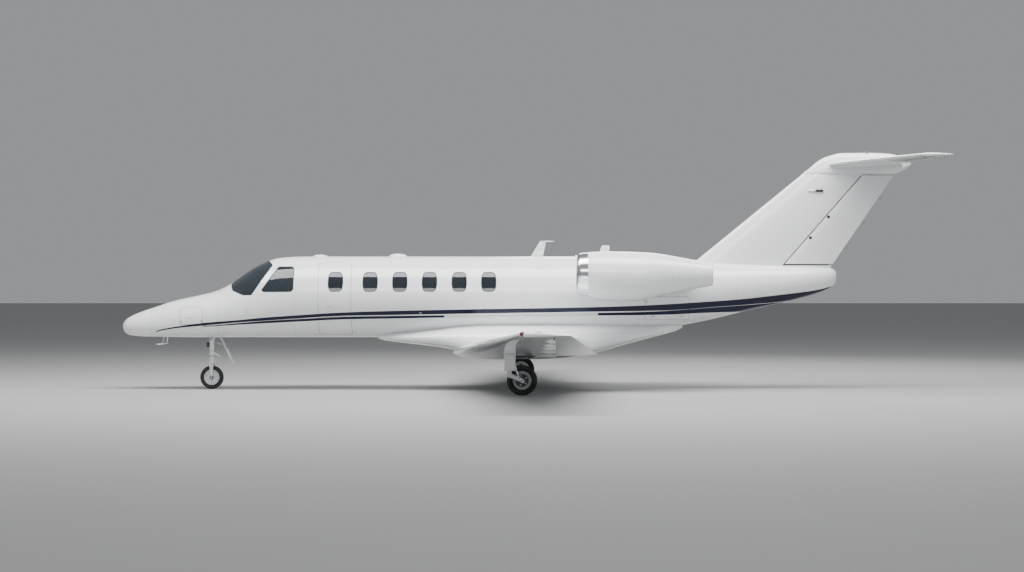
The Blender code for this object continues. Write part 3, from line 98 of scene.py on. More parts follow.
# Fairing under the wing's middle and bullet fairing on the fin, in the fuselage's columns
FAIRING = (
    (5.000, 0.985, 1.060, 0.240, 1.020, 2.4),
    (5.150, 0.946, 1.105, 0.420, 1.020, 2.6),
    (5.600, 0.892, 1.155, 0.620, 1.010, 2.8),
    (6.200, 0.822, 1.240, 0.800, 1.000, 3.0),
    (6.600, 0.745, 1.305, 0.890, 0.960, 3.2),
    (7.100, 0.640, 1.350, 0.940, 0.920, 3.4),
    (8.000, 0.590, 1.360, 0.950, 0.900, 3.4),
    (8.700, 0.620, 1.350, 0.945, 0.910, 3.4),
    (9.250, 0.725, 1.330, 0.920, 0.960, 3.2),
    (9.780, 0.870, 1.290, 0.800, 1.020, 2.8),
    (10.300, 1.005, 1.260, 0.600, 1.090, 2.6),
    (10.780, 1.128, 1.280, 0.260, 1.190, 2.4),
    (10.860, 1.160, 1.276, 0.160, 1.222, 2.2),
    (10.930, 1.200, 1.270, 0.060, 1.245, 2.0),
)
BULLET = (
    (13.290, 4.120, 4.215, 0.020, 4.205, 2.0),
    (13.400, 4.120, 4.292, 0.052, 4.210, 2.0),
    (13.627, 4.110, 4.477, 0.088, 4.230, 2.0),
    (13.820, 4.090, 4.555, 0.106, 4.260, 2.0),
    (14.040, 4.080, 4.606, 0.120, 4.290, 2.0),
    (14.600, 4.080, 4.612, 0.125, 4.300, 2.0),
    (15.000, 4.180, 4.590, 0.112, 4.340, 2.0),
    (15.180, 4.240, 4.552, 0.088, 4.370, 2.0),
    (15.320, 4.310, 4.505, 0.055, 4.395, 2.0),
    (15.395, 4.370, 4.450, 0.020, 4.410, 2.0),
)

# Glazing, by station and height
WINDOW_STATIONS = (4.883, 5.451, 6.021, 6.592, 7.158)
DOOR_WINDOW_STATION = 4.217
WINDOW_Z = 2.09
WINDOW_WIDTH = 0.297
WINDOW_HEIGHT = 0.385
WINDOW_POWERS = (4.5, 2.4)
WINDSHIELD = ((2.140, 2.050), (2.205, 1.915), (2.425, 1.828), (2.595, 1.828), (2.985, 2.420), (2.800, 2.560))
SIDE_WINDOW = ((2.778, 1.930), (2.823, 1.890), (3.365, 1.893), (3.412, 1.940), (3.412, 2.345), (3.370, 2.390),
               (3.095, 2.390))
WINDSHIELD_POST = 0.030
PANE_DEPTH = 0.004
PANE_THICK = 0.022
RIM_WIDTH = 0.011

# Doors: front and rear station, lower and upper edge
DOOR = (3.885, 4.515)
DOOR_ANGLES = (-67.5, 56.25)
DOOR_CORNER = 0.09
DOOR_STEP_ANGLES = (-42.0, -24.0, -6.0)
DOOR_HANDLE = (4.03, 4.17, 1.62)
NOSE_DOOR = (1.19, 1.64, 1.27, 1.60)
AFT_DOOR = (10.17, 11.03, 1.36, 1.80)
HATCH_CORNER = 0.045
# Two thin dark plates near each nose hatch's front and rear edge, by station and height: painted shade of its
# edge gaps.
HATCH_SHADE_STATIONS = (1.215, 1.620)
HATCH_SHADE_Z = (1.280, 1.350)
HATCH_LOCK = (1.395, 1.390)
AFT_LATCHES = (10.32, 10.90)
AFT_LATCH_Z = 1.42
# How far small flat parts stand proud of the skin
PROUD = 0.0012
FLOOR_TOP = 1.21
# Radius and height of the middle of the cabin's upper half
CABIN_RADIUS = 0.79
CABIN_AXIS_Z = 1.80
# Front and rear station of the cabin divider
DIVIDER = (8.052, 8.088)
# The nose leg's well: front and rear station, half its width
LEG_WELL = (1.505, 1.895, 0.11)
# Roof domes: middle station, half length, half width, height
DOMES = ((3.860, 0.150, 0.090, 0.034), (5.376, 0.180, 0.120, 0.054))
DOME_FOOT_Z = 2.575

# Wing at the root rib and at the tip: leading and trailing station, height, thickness
WING_ROOT_Y = 0.90
WING_TIP_Y = SPAN / 2
WING_ROOT = (6.52, 9.23, 0.760, 0.125)
WING_TIP = (7.71, 8.52, 1.250, 0.105)
DIHEDRAL = math.atan2(WING_TIP[2] - WING_ROOT[2], WING_TIP_Y - WING_ROOT_Y)
WING_INCIDENCE = 0.022
WING_CAMBER = 0.016
WING_SPLIT = 0.71
FLAP_SPAN = (1.05, 4.72)
AILERON_SPAN = (4.78, 7.72)
SURFACE_GAP = 0.010
NOSE_ROUND = 0.96
COVE_POINTS = 7
LIP_THICK = 0.004
TIP_START = 8.03
TIP_ROUND = 0.10
FLAP_TRACKS = (1.45, 2.95, 4.30, 5.30, 6.60)
AILERON_WICKS = (5.6, 6.4, 7.1)
RUDDER_WICKS = (2.75, 3.25, 3.72)
ELEVATOR_WICKS = (1.9, 2.5, 3.0)
WICK_RADII = (0.004, 0.003, 0.002)
# Painted shade of the wheel well under the wing: the wheel's place and radius, then the leg's slot
WHEEL_WELL = (1.42, 0.30)
LEG_SLOT = (-0.10, 0.12, 1.60, 2.68)

# Tail
FIN_ROOT_Z = 2.30
FIN_TOP_Z = 4.20
FIN_LEAD = ((11.232, 2.528), (13.627, 4.477))
FIN_HINGE = ((12.920, 2.405), (14.350, 4.047))
FIN_TRAIL = ((13.860, 2.424), (15.205, 4.379))
FIN_THICK = 0.095
RUDDER_Z = (2.442, 4.160)
RUDDER_ROOM = 0.030
RUDDER_NOTCHES = (2.958, 3.365)
STABILIZER_Z = 4.385
STABILIZER_HALF_SPAN = 3.20
STABILIZER_ROOT = (13.72, 15.20)
STABILIZER_TIP = (14.96, LENGTH)
STABILIZER_THICK = 0.09
STABILIZER_SPLIT = 0.68
ELEVATOR_SPAN = (0.16, 3.10)
STABILIZER_TIP_ROUND = 0.08
# The fin's side vane: front and rear station, height, distance from the centre line
VANE = (13.36649, 13.67538, 3.870, 0.105)
BEACON_STATION = 14.53364

# Engines: station, radius and axis height of the cowl, then of the duct inside it
ENGINE_Y = 1.32
COWL = (
    (8.840, 0.372, 2.235),
    (8.870, 0.392, 2.235),
    (9.000, 0.412, 2.232),
    (9.220, 0.446, 2.212),
    (9.460, 0.463, 2.203),
    (9.720, 0.466, 2.195),
    (9.980, 0.456, 2.197),
    (10.280, 0.422, 2.212),
    (10.520, 0.378, 2.222),
    (11.000, 0.283, 2.228),
    (11.390, 0.215, 2.230),
)
DUCT = (
    (8.840, 0.352, 2.235),
    (8.880, 0.328, 2.235),
    (9.050, 0.312, 2.228),
    (9.300, 0.305, 2.215),
    (9.460, 0.305, 2.210),
    (10.300, 0.300, 2.210),
    (10.700, 0.262, 2.222),
    (11.100, 0.215, 2.228),
    (11.390, 0.192, 2.230),
)
LIP_CURVE_END = 8.90
LIP_END = 9.035
NOZZLE_START = 11.13
NOZZLE_RING = 11.380
FAN_STATION = 9.42
FAN_RADIUS = 0.293
FAN_HUB_RADIUS = 0.095
FAN_BLADES = 20
FAN_Z = 2.2115
# Guide vanes behind the fan: how many, where, the section along and around, and its radii
GUIDE_VANES = 30
VANE_STATION = 9.60
VANE_SECTION = ((-0.035, -0.010), (-0.010, -0.001), (0.035, 0.004), (0.034, 0.0015), (-0.010, -0.004),
                (-0.034, -0.0125))
VANE_RADII = (0.095, 0.16, 0.23, 0.3035)
# The engine's casing by its two ends, and the exhaust cone by station, radius and axis height
CASING = (9.70, 10.44)
EXHAUST_CONE = ((10.445, 0.205, 2.214), (10.50, 0.19, 2.216), (10.70, 0.165, 2.222), (10.90, 0.125, 2.226),
                (11.05, 0.085, 2.228), (11.18, 0.030, 2.229))
# Exhaust struts: how many, their middle, and half a strut's length at two radii
STRUTS = 5
STRUT_PLACE = (10.78, 2.224)
STRUT_ROWS = ((0.08, 0.07), (0.20, 0.06))
# A fan blade's section, by shares of its half width and its thickness
BLADE_SECTION = ((-1.0, 0.0), (-0.6, 0.75), (0.0, 1.0), (0.6, 0.7), (1.0, 0.0), (0.6, -0.5), (0.0, -0.7),
                 (-0.6, -0.45))
COWL_LATCHES = (9.55, 9.95, 10.35)
DRAIN_MAST = 10.10
# Leading and trailing station, height and thickness
PYLON = (9.35, 11.15, 2.185, 0.075)

# Landing gear: tyre radius, half width and rim radius
NOSE_WHEEL_STATION = 1.74
NOSE_TYRE = (0.2285, 0.056, 0.150)
MAIN_WHEEL_STATION = 7.79
MAIN_WHEEL_Y = 2.45
MAIN_TYRE = (0.2795, 0.073, 0.172)
MAIN_LEG_Y = 2.60
MAIN_PIVOT = (7.555, 0.385)
NOSE_GEAR_DOOR = ((1.900, 1.0097), (2.150, 0.470))
# Radius and height up each leg, from its top to its foot
NOSE_LEG = ((0.001, 1.195), (0.044, 1.195), (0.048, 1.15), (0.048, 0.98), (0.054, 0.975), (0.054, 0.945),
            (0.048, 0.94), (0.048, 0.72), (0.053, 0.715), (0.053, 0.675), (0.046, 0.665), (0.001, 0.665))
NOSE_PISTON = (0.0315, 0.70, 0.516)
MAIN_LEG_FOOT = ((0.048, 0.62), (0.054, 0.615), (0.054, 0.59), (0.046, 0.58), (0.043, 0.45), (0.048, 0.435),
                 (0.001, 0.435))
# Drag brace and hose of the nose leg: distance aft of the axle, off the centre line, and up
NOSE_BRACE = ((0.02, 0.035, 0.94), (0.10, 0.085, 1.08), (0.14, 0.105, 1.15))
NOSE_HOSE = ((0.045, 0.055, 0.70), (0.040, 0.060, 0.85), (0.035, 0.058, 1.00), (0.02, 0.05, 1.14))
# Taxi lamp on the nose leg: its shell and its glass, by radius and distance aft of its middle
LAMP_Z = 0.86
LAMP_SHELL = ((0.004, 0.0), (0.040, 0.0), (0.050, -0.045), (0.046, -0.050), (0.004, -0.052))
LAMP_GLASS = ((0.001, -0.046), (0.046, -0.046), (0.042, -0.056), (0.022, -0.062), (0.001, -0.064))
# Rods that hold the nose gear door: station, distance off the centre line, height
DOOR_ROD = ((1.79, 0.03, 0.93), (1.90, 0.05, 0.88), (1.905, 0.06, 0.87), (1.965, 0.06, 0.87))
# Fork: radius and height of its crown, then each blade's middle and half sizes, with 1 where it lies flat
FORK_CROWN = ((0.034, 0.500), (0.062, 0.500), (0.070, 0.515), (0.070, 0.545), (0.060, 0.565), (0.054, 0.618),
              (0.034, 0.620))
FORK_BLADE = (
    (0.045, 0.530, 0.045, 0.020, 1),
    (0.075, 0.528, 0.048, 0.024, 1),
    (0.086, 0.500, 0.046, 0.014, 0),
    (0.088, 0.420, 0.034, 0.012, 0),
    (0.088, 0.320, 0.029, 0.012, 0),
    (0.088, 0.260, 0.032, 0.012, 0),
    (0.088, 0.200, 0.030, 0.012, 0),
    (0.088, 0.188, 0.015, 0.010, 0),
)
AXLE_NUT = ((0.001, 0.101), (0.019, 0.101), (0.019, 0.105), (0.012, 0.108), (0.001, 0.108))
# Trailing link: share of the way from pivot to axle, half height, half width
LINK_ROWS = (
    (0.0, 0.044, 0.0215),
    (0.15, 0.047, 0.0215),
    (0.45, 0.040, 0.0190),
    (0.75, 0.038, 0.0200),
    (1.0, 0.046, 0.0215),
    (1.12, 0.036, 0.0200),
    (1.18, 0.010, 0.012),
)
# Cheek on each side of a main gear's pivot, by radius and distance along
PIVOT_CHEEK = ((0.001, 0.0245), (0.048, 0.0245), (0.048, 0.040), (0.024, 0.048), (0.001, 0.048))
# Side stay and brake hose of each main leg: distance aft of the pivot, off the leg's middle, and up
SIDE_STAY = ((0.0, -0.05, 0.60), (0.01, -0.35, 0.66), (0.01, -0.62, 0.71), (0.01, -0.80, 0.745))
MAIN_HOSE = ((0.045, 0.03, 0.80), (0.060, 0.03, 0.60), (0.075, 0.028, 0.46), (0.10, 0.026, 0.41))
# Brake, its pistons and the hub cap, by radius and distance along
BRAKE = ((0.032, 0.0), (0.115, 0.0), (0.118, 0.006), (0.118, 0.030), (0.110, 0.036), (0.032, 0.036))
BRAKE_CUP = ((0.001, 0.0), (0.016, 0.0), (0.016, 0.014), (0.012, 0.018), (0.001, 0.018))
HUB_CAP = ((0.001, 0.0), (0.040, 0.0), (0.040, 0.012), (0.030, 0.020), (0.001, 0.023))

# Blade antennas on the roof: station and height of the front foot, front top, rear top and rear foot
ANTENNAS = (
    ("antenna_front", ((7.975, 2.588), (8.150, 2.884), (8.270, 2.884), (8.210, 2.588))),
    ("antenna_rear", ((9.290, 2.575), (9.360, 2.806), (9.512, 2.806), (9.505, 2.575))),
)
# The bar on top of the front one: front and rear station, height
CAP_BAR = (8.140, 8.440, 2.884)

# Station and height at which each pitot mast leaves the nose
PITOT = (0.84, 1.045)
STATIC_PORTS = ((1.045, 1.360), (2.50, 1.560), (2.50, 1.500))

# Stripes: height of each edge by distance aft of the jet's middle, on the photo's side view
STRIPE_X = (-7.10, 6.20)
STRIPE_Z = (0.90, 2.20)
UPPER_STRIPE_TOP = ((-7.093, 1.130), (-6.611, 1.229), (-6.152, 1.290), (-5.427, 1.350), (-4.939, 1.397),
                    (-4.262, 1.445), (-3.493, 1.492), (-2.533, 1.524), (-1.573, 1.545), (-0.612, 1.563),
                    (0.348, 1.578), (1.501, 1.601), (2.329, 1.629), (3.202, 1.677), (4.320, 1.755),
                    (4.755, 1.803), (5.211, 1.855), (5.749, 1.926), (6.109, 2.010))
UPPER_STRIPE_LOW = ((-7.093, 1.122), (-6.611, 1.209), (-6.152, 1.252), (-5.427, 1.317), (-4.939, 1.350),
                    (-4.262, 1.395), (-3.493, 1.440), (-2.533, 1.459), (-1.573, 1.476), (-0.612, 1.492),
                    (0.348, 1.507), (1.501, 1.526), (2.329, 1.537), (2.910, 1.552), (3.768, 1.614),
                    (4.418, 1.658), (5.151, 1.719), (6.109, 1.800))
LOWER_STRIPE_TOP = ((-6.152, 1.234), (-5.427, 1.292), (-4.939, 1.331), (-4.262, 1.370), (-3.493, 1.411),
                    (-2.533, 1.428), (-1.573, 1.440), (-0.420, 1.455), (0.732, 1.472), (1.501, 1.489),
                    (2.329, 1.506), (2.910, 1.532), (3.768, 1.595), (4.418, 1.638), (5.151, 1.699),
                    (6.109, 1.780))
LOWER_STRIPE_LOW = ((-6.152, 1.232), (-5.427, 1.273), (-4.939, 1.299), (-4.262, 1.334), (-3.493, 1.372),
                    (-2.533, 1.390), (-1.573, 1.409), (-0.420, 1.420), (0.732, 1.436), (1.501, 1.449),
                    (2.329, 1.456), (2.910, 1.467), (3.435, 1.493), (4.418, 1.520), (5.211, 1.540),
                    (6.109, 1.560))
# Stretch along the jet, over the wing, where the lower stripe is painted paler: painted reflection of the
# white wing in the glossy navy.
STRIPE_WING_REFLECTION = (-1.49, 1.46)

# Stations of the skin's lap joints, where a fine line shows
SKIN_JOINTS = (0.60, 1.93, 3.42, 8.95, 10.05, 11.95, 12.98)
# Front and rear station, lower and upper edge of the cowl's access panel
COWL_HATCH = (9.27, 10.61, 1.60, 2.256)
# Distances from the centre line of the skin joints on the wing and on the stabilizer
WING_JOINTS = (1.62, 2.36, 3.10, 4.75, 6.25, 7.60)
TAIL_JOINTS = (1.60,)
WHITE = (0.86, 0.87, 0.88)
NAVY = (0.004, 0.007, 0.028)
SEAM_GREY = (0.30, 0.31, 0.33)
# How much each edge of a stripe moves outwards, and the small square drawn on it
STRIPE_GROWTH = 0.007
STRIPE_MARK = (-1.962, -1.930, 1.472, 1.502)

# Seats: one seat's pads about its own place, facing forwards, then where the seats stand
SEAT_PADS = (
    ((-0.205, -0.205, 1.515), (0.225, 0.195, 1.625)),
    ((-0.325, -0.195, 1.580), (-0.205, 0.145, 2.085)),
    ((-0.350, -0.120, 2.080), (-0.255, 0.070, 2.245)),
)
PAD_RINGS = 14
PAD_POWER = 0.38
PAD_END = 0.35
PAD_VOXEL = 0.013                     # voxel size of the cushions' remesh; three seats a piece stay under 200,000 triangles
PAD_SWELL = 0.022
SIM_FRAMES = 20
# Shell, back, arm rest, its two posts, and pedestal: two spans along, two across, two up, finish
SEAT_BLOCKS = (
    (-0.215, 0.230, -0.215, 0.205, 1.490, 1.516, 0),
    (-0.345, -0.328, -0.205, 0.150, 1.56, 2.06, 0),
    (-0.17, 0.16, -0.243, -0.212, 1.76, 1.80, 1),
    (-0.16, -0.12, -0.240, -0.215, 1.50, 1.765, 0),
    (0.10, 0.14, -0.240, -0.215, 1.50, 1.765, 0),
    (-0.155, 0.135, -0.145, 0.015, 1.224, 1.49, 2),
)
SEAT_BELT = ((-0.20, 1.635), (-0.05, 1.642), (0.12, 1.640))
# Name, stations with the way each seat faces, distance off the centre line, seat rail, CAD node
SEAT_ROWS = (
    ("cabin_seat", ((4.98, 1), (6.10, -1), (7.05, -1)), 0.42, (4.60, 7.30, 0.36), "cabin_seats"),
    ("pilot_seat", ((3.00, -1),), 0.36, (2.75, 3.20, 0.33), "cockpit_seat"),
)

# Instrument panel: station and top of each section, then screens, knobs and a control wheel's grip
PANEL_ROWS = ((2.13, 1.80), (2.20, 1.845), (2.40, 1.862), (2.47, 1.850), (2.475, 1.835))
PANEL_HALF = 0.535
SCREENS = ((-0.44, -0.22), (-0.11, 0.11), (0.22, 0.44))
KNOBS = tuple((y, z) for y in (-0.17, 0.17) for z in (1.66, 1.72, 1.78))
WHEEL_GRIP = ((-0.125, 1.735), (-0.125, 1.67), (-0.09, 1.650), (0.0, 1.652), (0.09, 1.650), (0.125, 1.67),
              (0.125, 1.735))
GRIP_RADII = (0.011, 0.013, 0.012, 0.016, 0.012, 0.013, 0.011)

# Studio: the camera at the photo's viewing angle, and each light's place, size and power
CAMERA_PLACE = (-0.19, -40.0, 2.01)
CAMERA_LENS = 71.93
LIGHTS = (
    ("key", (0.0, -46.0, 19.0), (32.0, 7.0), 5000.0),
    ("overhead", (0.0, -4.5, 15.0), (26.0, 7.0), 7600.0),
    ("back", (6.0, 14.0, 11.0), (14.0, 6.0), 1300.0),
)
LIGHT_AIM = (0.0, 0.0, 1.5)
SKY_COLOUR = (0.88, 0.90, 0.93, 1.0)
SKY_STRENGTH = 0.36
FLOOR_REACH = 200.0


def x_of(station):
    """Distance aft of the jet's middle."""
    return station - LENGTH / 2


def columns(table, stations):
    """The other columns of a table at any stations, on cubic curves that never overshoot its rows."""
    rows = np.array(table, float)
    at = np.atleast_1d(np.asarray(stations, float))
    steps = np.diff(rows[:, 0])
    slopes = np.diff(rows[:, 1:], axis=0) / steps[:, None]
    before, after = slopes[:-1], slopes[1:]
    same = before * after > 0
    inner = np.where(same, 2 * before * after / np.where(same, before + after, 1.0), 0.0)
    tangents = np.vstack([slopes[0], inner, slopes[-1]])
    i = np.clip(np.searchsorted(rows[:, 0], at, side="right") - 1, 0, len(steps) - 1)
    h = steps[i][:, None]
    t = (at - rows[i, 0])[:, None] / h
    return ((2 * t**3 - 3 * t**2 + 1) * rows[i, 1:] + (t**3 - 2 * t**2 + t) * h * tangents[i]
            + (3 * t**2 - 2 * t**3) * rows[i + 1, 1:] + (t**3 - t**2) * h * tangents[i + 1]).T


def round_body(station, angle, inset=0.0, table=FUSELAGE):
    """Points of a round body: an ellipse above its widest height and a squarer oval below it.

    The angle runs from starboard over the top. The inset moves the surface inwards.
    """
    bottom, top, half, widest, corner = columns(table, station)
    across, up = np.cos(angle), np.sin(angle)
    power = np.where(up < -1e-9, 2.0 / corner, 1.0)
    y = (half - inset) * np.sign(across) * np.abs(across) ** power
    reach = np.where(up >= 0, top - widest - inset, widest - bottom - inset)
    z = widest + reach * np.sign(up) * np.abs(up) ** power
    return np.column_stack([np.broadcast_to(x_of(np.asarray(station, float)), y.shape), y, z])


def even_angles(table, count):
    """Angles that space points evenly round a body's middle section."""
    dense = np.linspace(0, 2 * math.pi, 1441)
    middle = (table[0][0] + table[-1][0]) / 2
    ring = round_body(np.full(len(dense), middle), dense, 0.0, table)
    length = np.concatenate([[0.0], np.cumsum(np.linalg.norm(np.diff(ring, axis=0), axis=1))])
    return np.interp(np.arange(count) / count * length[-1], length, dense)


def half_width(station, z, inset):
    """Half the width of the fuselage's inside at a height below its widest point."""
    bottom, _, half, widest, corner = columns(FUSELAGE, [station])[:, 0]
    share = (widest - z) / (widest - bottom - inset)
    return (half - inset) * max(0.0, 1 - share ** corner) ** (1 / corner)


def side_angle(station, z, side):
    """The angle at which the skin has a height, on one side, kept clear of the windshield's post."""
    bottom, top, half, widest, corner = columns(FUSELAGE, station)
    above = z >= widest
    share = np.where(above, (z - widest) / (top - widest), (widest - z) / (widest - bottom))
    share = np.clip(share, 0.0, 1.0)
    power = np.where(above, 1.0, 2.0 / corner)
    angle = np.arcsin(share ** (1.0 / power)) * np.where(above, 1.0, -1.0)
    angle = np.minimum(angle, np.arccos(WINDSHIELD_POST / half))
    return angle if side > 0 else math.pi - angle


class Shape:
    """Points and faces gathered from several surfaces, each face with the number of its finish."""

    def __init__(self):
        self.points = []
        self.faces = []
        self.marks = []

    def add(self, points, faces, mark=0):
        """Add a surface. The mark is one number, or one for each face."""
        start = len(self.points)
        self.points.extend(map(tuple, np.asarray(points, float).tolist()))
        self.faces.extend([tuple(int(i) + start for i in face) for face in faces])
        self.marks.extend([mark] * len(faces) if isinstance(mark, int) else [int(m) for m in mark])
        return self

    def grid(self, rows, mark=0, caps=True, closed=True):
        """A surface through rows of points. Each row closes on itself, and flat caps may end the stack."""
        rows = np.asarray(rows, float)
        n, m = rows.shape[:2]
        index = np.arange(n * m).reshape(n, m)
        right = np.roll(index, -1, axis=1) if closed else index[:, 1:]
        left = index if closed else index[:, :-1]
        quads = np.stack([left[:-1], right[:-1], right[1:], left[1:]], axis=-1)
        marks = np.broadcast_to(np.asarray(mark), quads.shape[:2]).reshape(-1)
        faces = [tuple(q) for q in quads.reshape(-1, 4)]
        marks = list(marks)
        if caps:
            faces += [tuple(index[0][::-1]), tuple(index[-1])]
            marks += [marks[0], marks[-1]]
        return self.add(rows.reshape(-1, 3), faces, marks)

    def tube(self, path, radius, sides=12, mark=0):
        """A round bar along a path. The radius is one number or one for each point of the path."""
        path = np.asarray(path, float)
        radii = np.broadcast_to(radius, len(path))
        run = np.gradient(path, axis=0)
        run /= np.linalg.norm(run, axis=1, keepdims=True)
        aid = np.eye(3)[np.argmin(np.abs(run).max(axis=0))]
        u = np.cross(run, aid)
        u /= np.linalg.norm(u, axis=1, keepdims=True)
        v = np.cross(run, u)
        angle = np.linspace(0, 2 * math.pi, sides, endpoint=False)
        rows = [p + r * (np.outer(np.cos(angle), a) + np.outer(np.sin(angle), b))
                for p, r, a, b in zip(path, radii, u, v)]
        return self.grid(rows, mark)

    def turned(self, profile, centre, steps=64, axis=1, mark=0):
        """Turn a closed profile of radius and distance along the axle about an axle through the centre."""
        profile = np.asarray(profile, float)
        angle = np.linspace(0, 2 * math.pi, steps, endpoint=False)
        others = [i for i in (0, 1, 2) if i != axis]
        rows = np.zeros((len(profile), steps, 3))
        rows[:, :, axis] = profile[:, 1:2]
        rows[:, :, others[0]] = profile[:, :1] * np.cos(angle)
        rows[:, :, others[1]] = profile[:, :1] * np.sin(angle)
        rows = np.concatenate([rows, rows[:1]]) + np.asarray(centre, float)
        marks = mark if np.ndim(mark) == 0 else np.asarray(mark)[:, None]
        return self.grid(rows, marks, caps=False)

    def drum(self, radius, start, end, centre, steps, axis, mark=0):
        """A solid drum about an axle, between two places along it."""
        profile = [(0.001, start), (radius, start), (radius, end), (0.001, end)]
        return self.turned(profile, centre, steps, axis, mark)

    def block(self, low, high, mark=0, bevel=0.0):
        """A box whose upright edges are cut back by the bevel, and its top and bottom edges as well."""
        low, high = np.array(low, float), np.array(high, float)
        rows = []
        for z, inset in ((low[2], bevel), (low[2] + bevel, 0.0), (high[2] - bevel, 0.0), (high[2], bevel)):
            x0, x1 = low[0] + inset, high[0] - inset
            y0, y1 = low[1] + inset, high[1] - inset
            b = bevel
            rows.append([(x0 + b, y0, z), (x1 - b, y0, z), (x1, y0 + b, z), (x1, y1 - b, z), (x1 - b, y1, z),
                         (x0 + b, y1, z), (x0, y1 - b, z), (x0, y0 + b, z)])
        return self.grid(rows, mark)

    def plate(self, outline, axis, low, high, mark=0):
        """A flat plate: its outline in the two other axes, between two places along an axis."""
        flat = np.asarray(outline, float)
        others = [i for i in (0, 1, 2) if i != axis]
        rows = np.zeros((2, len(flat), 3))
        for row, place in zip(rows, (low, high)):
            row[:, others] = flat
            row[:, axis] = place
        return self.grid(rows, mark)


def inside(points, loop):
    """Which flat points lie inside a closed loop, by counting crossings."""
    x, y = points[:, 0], points[:, 1]
    found = np.zeros(len(points), bool)
    for (x0, y0), (x1, y1) in zip(loop, np.roll(loop, -1, axis=0)):
        crosses = (y0 > y) != (y1 > y)
        found ^= crosses & (x < x0 + (y - y0) * (x1 - x0) / (y1 - y0 if y1 != y0 else 1.0))
    return found


def spaced(loop, step):
    """A closed loop with more points, at most a step apart."""
    points = []
    for start, end in zip(loop, np.roll(loop, -1, axis=0)):
        count = max(1, int(np.ceil(np.linalg.norm(end - start) / step - 1e-6)))
        points.extend(start + (end - start) * t for t in np.arange(count) / count)
    return np.array(points)


def flat_mesh(outline, holes, step):
    """Triangles that fill a flat outline around its holes."""
    low, high = outline.min(axis=0), outline.max(axis=0)
    counts = np.maximum(2, np.round((high - low) / step).astype(int) + 1)
    across, along = (np.linspace(a, b, c) for a, b, c in zip(low, high, counts))
    grid = np.array(np.meshgrid(across, along)).reshape(2, -1).T
    keep = inside(grid, outline)
    loops = [outline, *holes]
    for loop in loops:
        near = grid[keep]
        far = np.ones(len(near), bool)
        for start, end in zip(loop, np.roll(loop, -1, axis=0)):
            run = end - start
            share = np.clip((near - start) @ run / max(run @ run, 1e-12), 0, 1)
            far &= np.linalg.norm(near - start - share[:, None] * run, axis=1) > step * 0.45
        keep[np.flatnonzero(keep)[~far]] = False
    for hole in holes:
        keep &= ~inside(grid, hole)
    points = list(grid[keep])
    edges = []
    for loop in loops:
        start = len(points)
        points.extend(loop)
        edges.extend((start + i, start + (i + 1) % len(loop)) for i in range(len(loop)))
    found = delaunay_2d_cdt([Vector(p) for p in points], edges, [], 0, 1e-7)
    flat = np.array([tuple(p) for p in found[0]])
    faces = np.array(found[2])
    middle = flat[faces].mean(axis=1)
    wanted = inside(middle, outline)
    for hole in holes:
        wanted &= ~inside(middle, hole)
    return flat, faces[wanted]


def laid_solid(shape, place, outline, holes, wall, step, marks=(0, 0, 0), seam=None):
    """A closed solid over a flat outline with holes, with a mark each for its face, its back and its rims.

    place(flat points, depth) lays the flat points on the surface, or deeper. A seam is the pair of
    widths at which the flat sheet closes on itself.
    """
    flat, faces = flat_mesh(outline, holes, step)
    if seam is not None:
        at_end = np.abs(flat[:, 1] - seam[1]) < 1e-6
        start = {round(float(p[0]), 5): i for i, p in enumerate(flat) if abs(p[1] - seam[0]) < 1e-6}
        swap = np.arange(len(flat))
        for i in np.flatnonzero(at_end):
            swap[i] = start[round(float(flat[i, 0]), 5)]
        faces = swap[faces]
    n = len(flat)
    sides = np.concatenate([faces[:, (0, 1)], faces[:, (1, 2)], faces[:, (2, 0)]])
    _, first, count = np.unique(np.sort(sides, axis=1), axis=0, return_index=True, return_counts=True)
    border = sides[first[count == 1]]
    rims = np.column_stack([border[:, 1], border[:, 0], border[:, 0] + n, border[:, 1] + n])
    points = np.vstack([place(flat, 0.0), place(flat, wall)])
    every = [tuple(f) for f in faces] + [tuple(f) for f in faces[:, ::-1] + n] + [tuple(f) for f in rims]
    face_marks = [marks[0]] * len(faces) + [marks[1]] * len(faces) + [marks[2]] * len(rims)
    return shape.add(points, every, face_marks)


def rounded(outline, radius, steps=6):
    """An outline whose corners are arcs."""
    corners = np.array(outline, float)
    points = []
    for before, corner, after in zip(np.roll(corners, 1, axis=0), corners, np.roll(corners, -1, axis=0)):
        back, ahead = before - corner, after - corner
        back_length, ahead_length = np.linalg.norm(back), np.linalg.norm(ahead)
        back, ahead = back / back_length, ahead / ahead_length
        half = math.acos(float(np.clip(back @ ahead, -1, 1))) / 2
        reach = min(radius / math.tan(half), 0.45 * back_length, 0.45 * ahead_length)
        start, end = corner + back * reach, corner + ahead * reach
        for t in np.linspace(0, 1, steps):
            points.append((1 - t) ** 2 * start + 2 * t * (1 - t) * corner + t**2 * end)
    return np.array(points)


def superellipse(centre, half, power, count=40):
    """A rounded outline with bulging sides. The power is one number, or one across and one up."""
    angle = np.linspace(0, 2 * math.pi, count, endpoint=False)
    reach = [np.sign(f) * np.abs(f) ** (2 / p) for f, p in
             zip((np.cos(angle), np.sin(angle)), np.broadcast_to(power, 2))]
    return np.column_stack([c + h * r for c, h, r in zip(centre, half, reach)])


def level_ring(centre, half, power, count, z):
    """A level ring of points in space: a rounded outline at one height."""
    return np.column_stack([superellipse(centre, half, power, count), np.full(count, z)])


def upright_section(x, left, right, low, high):
    """The four corners of an upright cross section, at one place along the jet."""
    return [(x, left, low), (x, right, low), (x, right, high), (x, left, high)]


def drawn_in(outline, distance):
    """An outline moved inwards by a distance, square to its own edges."""
    points = np.array(outline, float)
    run = np.roll(points, -1, axis=0) - np.roll(points, 1, axis=0)
    run /= np.linalg.norm(run, axis=1, keepdims=True)
    area = np.sum(points[:, 0] * np.roll(points[:, 1], -1) - np.roll(points[:, 0], -1) * points[:, 1])
    inward = np.column_stack([-run[:, 1], run[:, 0]]) * np.sign(area)
    return points + inward * distance


